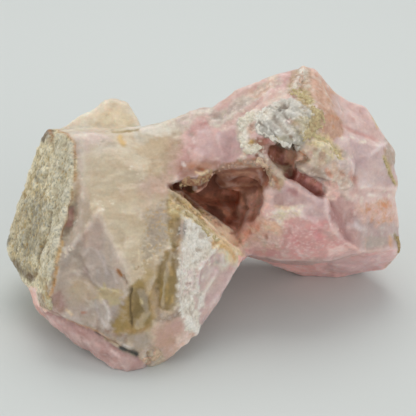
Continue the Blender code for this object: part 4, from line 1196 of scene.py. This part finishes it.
def mottled(noise, tones, size, seed, way="even", softness=SOFTNESS):
    """Two tones in soft patches, with flecks of a third."""
    first, second, accent = tones
    patches = rise(noise.get(size, seed, way), -softness, softness)
    fine = rise(noise.get(FINE, seed + 1, way), -0.5, 0.5)
    flecks = rise(noise.get(SMALL, seed + 2, way), 0.05, 0.05 + 1.2 * softness)
    tone = mixed(np.tile(linear(first), (len(noise.points), 1)), linear(second), 0.75 * patches + 0.25 * fine)
    return mixed(tone, linear(accent), 0.8 * flecks)


def spread_kind(kinds, kind, share):
    """Turns a share of every point into this kind of surface."""
    for name in kinds:
        kinds[name] = kinds[name] * (1 - share)
    kinds[kind] = kinds[kind] + share


def far_vein(front, seed, way, offset):
    """Distance from the middle of a far vein, and how much of the vein is there."""
    noise = front.noise
    sway = 5 * noise.get(BROAD, seed) + 1.2 * noise.get(WIDE, seed + 2)
    return np.abs(front.points @ np.array(way) - offset + sway), rise(noise.get(BROAD, seed + 3), -0.3, 0.1)


def far_side(front):
    """Colour and kinds behind and below: pink and cream opal with matrix, chalk, rind and veins."""
    noise = front.noise
    tone = mottled(noise, (PINK, PINK_DEEP, PINK_PALE), 6.0, 3)
    kinds = {name: np.full(front.count, float(name == "wax")) for name in KINDS}
    for seed, (kind, tones, centre, radius) in enumerate(FAR_PATCHES):
        stretch = np.array(FAR_STRETCHES[seed % 2])
        gap = np.linalg.norm((front.points - np.array(centre)) * stretch, axis=1)
        wide_sway = 0.8 * noise.get(BROAD, seed) + 0.4 * noise.get(WIDE, seed + 1)
        gap += radius * (wide_sway + 0.12 * noise.get(FINE, seed))
        soft = 4.0 if kind == "wax" else 1.2
        share = rise(radius - gap, -soft / 2, soft / 2)
        tone = mixed(tone, mottled(noise, tones, WIDE, seed), share)
        spread_kind(kinds, kind, share)
    for seed, (way, offset, width, colour, strength) in enumerate(FAR_VEINS):
        gap, there = far_vein(front, seed, way, offset)
        share = rise(width * (1 + noise.get(WIDE, seed)) - gap, -0.5, 0.5) * there
        tone = mixed(tone, linear(colour), share * strength)
    return tone, kinds


def lay_areas(front, tone, kinds):
    """Lays the areas in order and returns the colours."""
    for seed, area in enumerate(AREAS):
        share = front.area(area.outline, area.soft, area.wobble, seed) * front.share * area.strength
        softness = CLEAR_SOFTNESS if area.kind in CLEAR_KINDS else SOFTNESS
        over = mottled(front.noise, area.tones, area.size, seed, area.way, softness)
        tone = mixed(tone, area.shade * over, share)
        spread_kind(kinds, area.kind, share)
    return tone


def lay_marks(front, tone):
    """Lays the marks as ragged strokes."""
    for seed, (_, line, width, colour, strength) in enumerate(MARKS):
        gap = front.line(line, MARK_WOBBLE, seed)
        ragged = width * (0.9 + 0.7 * front.noise.get(SMALL, seed))
        soft = 0.7 + 0.5 * width
        tone = mixed(tone, linear(colour), rise(ragged - gap, -soft, soft) * strength * front.share)
    return tone


def lay_sprinkles(front, tone):
    """Lays small round spots at scattered seeds."""
    for seed, (_, outline, size, share, colour, strength) in enumerate(SPRINKLES):
        here = front.area(outline, SPRINKLE_BORDER, SPRINKLE_WOBBLE, seed) * front.share
        where = here > LEAST_SHARE
        near, label = cells(front.points[where], size, 61 + seed)
        here[where] *= rise(0.45 - near, -0.12, 0.12) * (label < share) * strength
        tone = mixed(tone, linear(colour), here)
    return tone


def paint_edge_highlights_and_dip_shade(mesh, points, tone, kinds):
    """Paints highlights on the edges that stick out and paints shade into the dips."""
    ends = np.empty(2 * len(mesh.edges), np.int32)
    mesh.edges.foreach_get("vertices", ends)
    first, second = ends.reshape(-1, 2).T
    total = len(points)
    count = np.bincount(ends, minlength=total)
    calm = points.copy()
    for _ in range(EDGE_ROUNDS):
        for axis in range(3):
            value = calm[:, axis]
            drawn = np.bincount(first, value[second], total) + np.bincount(second, value[first], total)
            calm[:, axis] = drawn / count
    stands = np.einsum("ij,ij->i", points - calm, read(mesh, "normal"))
    glossy = kinds["wax"] + kinds["satin"] + kinds["honey"]
    # painted highlight on the edges that stick out, and painted shade in the dips, warm rather than grey
    light = rise(stands, 0.02, 0.2) * (0.26 - 0.02 * glossy)
    dark = rise(-stands, 0.02, 0.22) * (0.3 - 0.2 * glossy)
    worn = 1 - (1 - tone) * 0.55
    warm_shade_tint = np.array([0.8, 1.0, 1.1])
    return mixed(tone, worn, light) * (1 - dark[:, None] * warm_shade_tint)


# ---------------------------------------------------------------- relief


def far_relief(front, kinds):
    """Breaks, grooves and pits of the far side."""
    points = front.points
    height = 0.9 * facets(points, 14.0, 71) + 0.3 * weighted(facets, points, kinds["wax"], 5.5, 73)
    for seed, (way, offset, width, _, _) in enumerate(FAR_VEINS):
        gap, there = far_vein(front, seed, way, offset)
        height -= 0.35 * np.exp(-((gap / (width + 0.6)) ** 2)) * there
    near, label = cells(points, 7.0, 79)
    height -= 0.7 * rise(0.16 - near, -0.1, 0.05) * (label > 0.8)
    return height * (1 - front.share)


def relief(front, kinds):
    """Height added to every point along its normal."""
    noise = front.noise
    satin, chalk, matrix, deep = (kinds[name] for name in ("satin", "chalk", "matrix", "deep"))
    glossy = kinds["wax"] + satin + kinds["honey"]
    earthy = chalk + 0.6 * deep + kinds["rind"]
    # patterns: where, height, size and seed
    patterns = [
        (facets, glossy, 0.36, 7.0, 31),
        (facets, glossy, 0.16, 3.2, 37),
        (facets, earthy - 0.5 * deep, 0.36, 3.4, 41),
        (facets, earthy, 0.13, 1.1, 47),
        (facets, deep, 0.12, 4.2, 43),
        (facets, matrix, 0.32, 2.6, 53),
        (facets, matrix, 0.12, 1.3, 59),
        (grains, kinds["grain"] + 0.25 * satin + 0.3 * chalk, 0.7, 1.3, 21),
    ]
    # waves: where, height, size and seed
    swells = [
        (glossy, 0.1, WIDE, 1),
        (glossy, 0.05, FINE, 2),
        (satin, 0.18, SMALL, 3),
        (satin, 0.08, FINE, 4),
        (matrix, 0.4, WIDE, 2),
        (matrix, 0.18, FINE, 1),
    ]
    height = far_relief(front, kinds)
    for pattern, where, lift, size, seed in patterns:
        height += lift * weighted(pattern, front.points, where, size, seed)
    for where, lift, size, seed in swells:
        height += lift * where * noise.get(size, seed)
    for seed, (_, width, lift, line) in enumerate(FOLDS):
        height += lift * np.exp(-((front.line(line, FOLD_WOBBLE, seed) / width) ** 2)) * front.share
    for seed, (_, x, y, radius, depth) in enumerate(PITS):
        across, down = front.wobbled(PIT_WOBBLE, seed)
        height -= depth * rise(-np.hypot(across - x, down - y) / radius, -1.3, -0.3) * front.share
    return height


def round_lips(skin, front):
    """Smooths the worn lips and returns the new points and normals."""
    worn = np.zeros(front.count)
    for seed, (_, width, line) in enumerate(WORN_LIPS):
        worn = np.maximum(worn, np.exp(-((front.line(line, 0.0, seed) / width) ** 2)) * front.share)
    weigh(skin, "worn", worn)
    modify(skin, "SMOOTH", factor=0.5, iterations=30, vertex_group="worn")
    settled(skin)
    return read(skin.data) / MM, read(skin.data, "normal")


def put(mesh, name, values):
    """Writes a colour or a number for each vertex."""
    if values.ndim == 2:
        layer = mesh.attributes.new(name, "FLOAT_COLOR", "POINT")
        layer.data.foreach_set("color", np.column_stack([values, np.ones(len(values))]).ravel())
    else:
        layer = mesh.attributes.new(name, "FLOAT", "POINT")
        layer.data.foreach_set("value", values)


def dress(obj, tone, kinds, material):
    """Writes colour, roughness, inner light and grain on a mesh and gives it the opal material."""
    mesh = obj.data
    mesh.polygons.foreach_set("use_smooth", np.ones(len(mesh.polygons), bool))
    tone = tone * DAYLIGHT
    over = np.maximum(tone.max(axis=1, keepdims=True) / BRIGHTEST, 1.0)
    put(mesh, "tone", np.maximum(tone / over, 0.0))
    for column, name in enumerate(("rough", "glow", "grit")):
        put(mesh, name, sum(kinds[kind] * KINDS[kind][column] for kind in KINDS))
    mesh.materials.clear()
    mesh.materials.append(material)
    mesh.update()


# ---------------------------------------------------------------- crusts


def along(line, share):
    """The point of a line at this share of its length."""
    steps = [math.dist(*ends) for ends in itertools.pairwise(line)]
    left = share * sum(steps)
    for ((ax, ay), (bx, by)), step in zip(itertools.pairwise(line), steps):
        if left <= step:
            return ax + (bx - ax) * left / step, ay + (by - ay) * left / step
        left -= step
    return line[-1]


def unit_ball():
    """Points and faces of a coarse ball."""
    ball = bmesh.new()
    bmesh.ops.create_icosphere(ball, subdivisions=1, radius=1.0)
    points = np.array([vert.co[:] for vert in ball.verts])
    faces = np.array([[vert.index for vert in face.verts] for face in ball.faces])
    ball.free()
    return points, faces


def crust_lumps(tree):
    """Stretch, radius, centre and tone of every lump of crust."""
    rng = np.random.default_rng(11)
    for _, first, second, count, small, large, spread, hang, line in CRUSTS:
        corners = path(line)
        for _ in range(count):
            x, y = along(corners, rng.uniform())
            shift = rng.normal(0.0, spread, 2) * 0.6
            drop = hang * rng.uniform() ** 2
            radius = small + (large - small) * rng.uniform() ** 1.5
            stretch = rng.uniform(*LUMP_STRETCH, 3)
            share = rng.uniform()
            hit = camera_hit(tree, x + shift[0], y + shift[1])
            if hit:
                place, normal = hit
                centre = place - normal * radius * LUMP_SUNK - np.array([0, 0, drop])
                yield stretch, radius, centre, linear(first) + (linear(second) - linear(first)) * share


def make_crusts(tree):
    """Lumps of mineral crust, grown together where they touch, and their colours."""
    ball_points, ball_faces = unit_ball()
    stretches, radii, centres, tones = zip(*crust_lumps(tree))
    lumps = zip(stretches, radii, centres)
    points = np.concatenate([ball_points * stretch * radius + centre for stretch, radius, centre in lumps])
    faces = np.concatenate([ball_faces + number * len(ball_points) for number in range(len(centres))])
    mesh = bpy.data.meshes.new("mineral_crust")
    mesh.from_pydata((points * MM).tolist(), [], faces.tolist())
    crust = new_object("mineral_crust", mesh)
    modify(crust, "REMESH", mode="VOXEL", voxel_size=CRUST_GRID * MM)
    modify(crust, "SMOOTH", iterations=2)
    settled(crust)
    points = read(crust.data) / MM
    index = point_index(dict(enumerate(centres)))
    nearest = [index.find(Vector(point))[1] for point in points]
    rough = points + read(crust.data, "normal") * (0.12 * layers(points, 0.7, 5))[:, None]
    rough[:, 2] = np.maximum(rough[:, 2], LOWEST)
    crust.data.vertices.foreach_set("co", (rough * MM).ravel())
    return crust, np.array(tones)[nearest] * (1 + 0.12 * layers(points, 1.5, 9))[:, None]


# ---------------------------------------------------------------- materials


class Graph:
    """A new material, whose nodes are added and linked in few words."""

    def __init__(self, name):
        self.material = bpy.data.materials.new(name)
        self.material.use_nodes = True
        self.tree = self.material.node_tree
        self.shader = self.tree.nodes["Principled BSDF"]

    def feed(self, node, inputs):
        """Links a node's inputs to other nodes' outputs, or sets their values."""
        for name, value in inputs.items():
            if isinstance(value, bpy.types.NodeSocket):
                self.tree.links.new(value, node.inputs[name])
            else:
                node.inputs[name].default_value = value

    def add(self, kind, inputs, **settings):
        """A node of this kind, set and fed."""
        node = self.tree.nodes.new("ShaderNode" + kind)
        for name, value in settings.items():
            setattr(node, name, value)
        self.feed(node, inputs)
        return node

    def attribute(self, name):
        """The outputs of one of the mesh's attributes."""
        return self.add("Attribute", {}, attribute_name=name).outputs

    def compute(self, operation, first, second):
        """One step of arithmetic."""
        return self.add("Math", {0: first, 1: second}, operation=operation).outputs[0]

    def noise(self, scale, detail, roughness=0.55, stretch=(1, 1, 1)):
        """Noise with this many features to the mm."""
        place = self.per_mm([scale * part for part in stretch])
        inputs = {"Vector": place, "Scale": 1.0, "Detail": detail, "Roughness": roughness}
        return self.add("TexNoise", inputs).outputs["Fac"]

    def per_mm(self, scales):
        """Object coordinates times these scales to the mm."""
        coordinates = self.add("TexCoord", {}).outputs["Object"]
        inputs = {"Vector": coordinates, "Scale": [scale / MM for scale in scales]}
        return self.add("Mapping", inputs).outputs["Vector"]


def opal_material():
    """Opal whose colour, gloss and depth of light come from the skin, with fine grain from noise."""
    graph = Graph("opal_skin")
    compute, noise = graph.compute, graph.noise
    tone = graph.attribute("tone")["Color"]
    rough, glow, grit = (graph.attribute(name)["Fac"] for name in ("rough", "glow", "grit"))

    # brightness of the grain: weak on waxy faces, strong on earthy ones
    fine_share = compute("ADD", compute("MULTIPLY", grit, 0.85), 0.26)
    fine_swing = compute("MULTIPLY", compute("SUBTRACT", noise(1.6, 5), 0.5), fine_share)
    streaks = noise(0.9, 4, 0.6, (0.5, 1.0, 1.2))
    streak_swing = compute("MULTIPLY", compute("SUBTRACT", streaks, 0.5), 0.2)
    swing = compute("ADD", compute("ADD", fine_swing, streak_swing), 1.0)
    shaded = graph.add("VectorMath", {0: tone, "Scale": swing}, operation="SCALE").outputs["Vector"]

    # dark mineral specks, only where it is earthy
    specks = graph.add("TexVoronoi", {"Vector": graph.per_mm((1.1, 1.1, 1.1)), "Scale": 1.0})
    small = compute("LESS_THAN", specks.outputs["Distance"], 0.22)
    patchy = compute("GREATER_THAN", noise(0.3, 2), 0.5)
    amount = compute("MULTIPLY", compute("MULTIPLY", small, patchy), compute("MULTIPLY", grit, 0.35))
    speckled = graph.add("Mix", {"Factor": amount, "A": shaded, "B": (0.11, 0.1, 0.09, 1)}, data_type="RGBA")

    # relief under about 0.3 mm
    waxy = compute("MULTIPLY", noise(0.9, 4, 0.6), 0.5)
    gritty = compute("MULTIPLY", noise(2.4, 5, 0.65), compute("MULTIPLY", grit, 1.8))
    bump = graph.add("Bump", {"Height": compute("ADD", waxy, gritty), "Distance": 0.00035, "Strength": 0.6})

    rough_swing = compute("MULTIPLY", compute("SUBTRACT", noise(0.7, 4), 0.5), 0.25)
    graph.feed(graph.shader, {
        "Base Color": speckled.outputs["Result"],
        "Roughness": compute("ADD", rough, rough_swing),
        "Subsurface Weight": glow,
        "Subsurface Radius": (1.0, 0.65, 0.5),
        "Subsurface Scale": 0.0026,
        "IOR": 1.45,
        "Specular IOR Level": 0.42,
        "Normal": bump.outputs["Normal"],
    })
    return graph.material


def paper_material():
    """Pale paper with a faint, wide mottling."""
    graph = Graph("pale_paper")
    mottling = graph.add("TexNoise", {"Scale": 6.0}).outputs["Fac"]
    ramp = graph.add("ValToRGB", {"Fac": mottling})
    low, high = ramp.color_ramp.elements
    low.color = (0.645, 0.67, 0.652, 1)
    high.color = (0.67, 0.695, 0.677, 1)
    looks = {"Base Color": ramp.outputs["Color"], "Roughness": 0.8, "Specular IOR Level": 0.1}
    graph.feed(graph.shader, looks)
    return graph.material


# ---------------------------------------------------------------- studio


def add_floor():
    mesh = bpy.data.meshes.new("floor")
    reach = 4.0
    corners = [(-reach, -reach, 0), (reach, -reach, 0), (reach, reach, 0), (-reach, reach, 0)]
    mesh.from_pydata(corners, [], [(0, 1, 2, 3)])
    mesh.materials.append(paper_material())
    floor = new_object("floor", mesh)


def soft_light(name, place, aim, size, power, colour):
    """A rectangular lamp, with its place, aim and size in metres."""
    lamp = bpy.data.lights.new(name, "AREA")
    lamp.shape = "RECTANGLE"
    lamp.size, lamp.size_y = size
    lamp.energy = power
    lamp.color = colour
    holder = new_object(name, lamp)
    holder.location = place
    way = Vector(aim) - Vector(place)
    holder.rotation_euler = way.to_track_quat("-Z", "Y").to_euler()


def add_light():
    world = bpy.data.worlds.new("studio")
    bpy.context.scene.world = world
    world.use_nodes = True
    sky = world.node_tree.nodes["Background"]
    sky.inputs["Color"].default_value = (0.95, 0.98, 1.0, 1)
    sky.inputs["Strength"].default_value = 0.54
    soft_light("top", (0.02, 0.3, 0.68), (0, 0, 0.03), (0.6, 0.5), 2.35, (1.0, 0.99, 0.97))
    soft_light("left", (-0.72, -0.25, 0.2), (0, 0, 0.02), (0.5, 0.35), 1.35, (1.0, 0.99, 0.97))
    soft_light("right", (0.5, -0.6, 0.35), (0, 0, 0.03), (0.5, 0.5), 1.6, (1.0, 0.99, 0.98))
    bpy.context.scene.view_settings.view_transform = "Standard"


# ---------------------------------------------------------------- the whole


def make_skin(node, material):
    """The stone's visible skin: coloured, sculpted and dressed."""
    skin = fine_skin(node)
    front = Front(read(skin.data) / MM, read(skin.data, "normal"), solid_tree(skin))
    points, normals = round_lips(skin, front)
    tone, kinds = far_side(front)
    tone = lay_areas(front, tone, kinds)
    tone = lay_sprinkles(front, lay_marks(front, tone))
    moved = points + normals * relief(front, kinds)[:, None]
    moved[:, 2] = np.where(points[:, 2] < FOOT_HEIGHT, points[:, 2], np.maximum(moved[:, 2], LOWEST))
    skin.data.vertices.foreach_set("co", (moved * MM).ravel())
    skin.data.update()
    tone = paint_edge_highlights_and_dip_shade(skin.data, moved, tone, kinds)
    dress(skin, tone, kinds, material)
    return skin


def main():
    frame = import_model()
    add_camera()
    material = opal_material()
    skin = make_skin(frame["nodes"]["rough_pink_opal"], material)
    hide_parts("rough_pink_opal")
    crust, crust_tone = make_crusts(solid_tree(skin))
    crust_kinds = {name: np.full(len(crust.data.vertices), float(name == "grain")) for name in KINDS}
    dress(crust, crust_tone, crust_kinds, material)
    for piece in (skin, crust):
        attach(piece, "root")
    add_floor()
    add_light()


main()
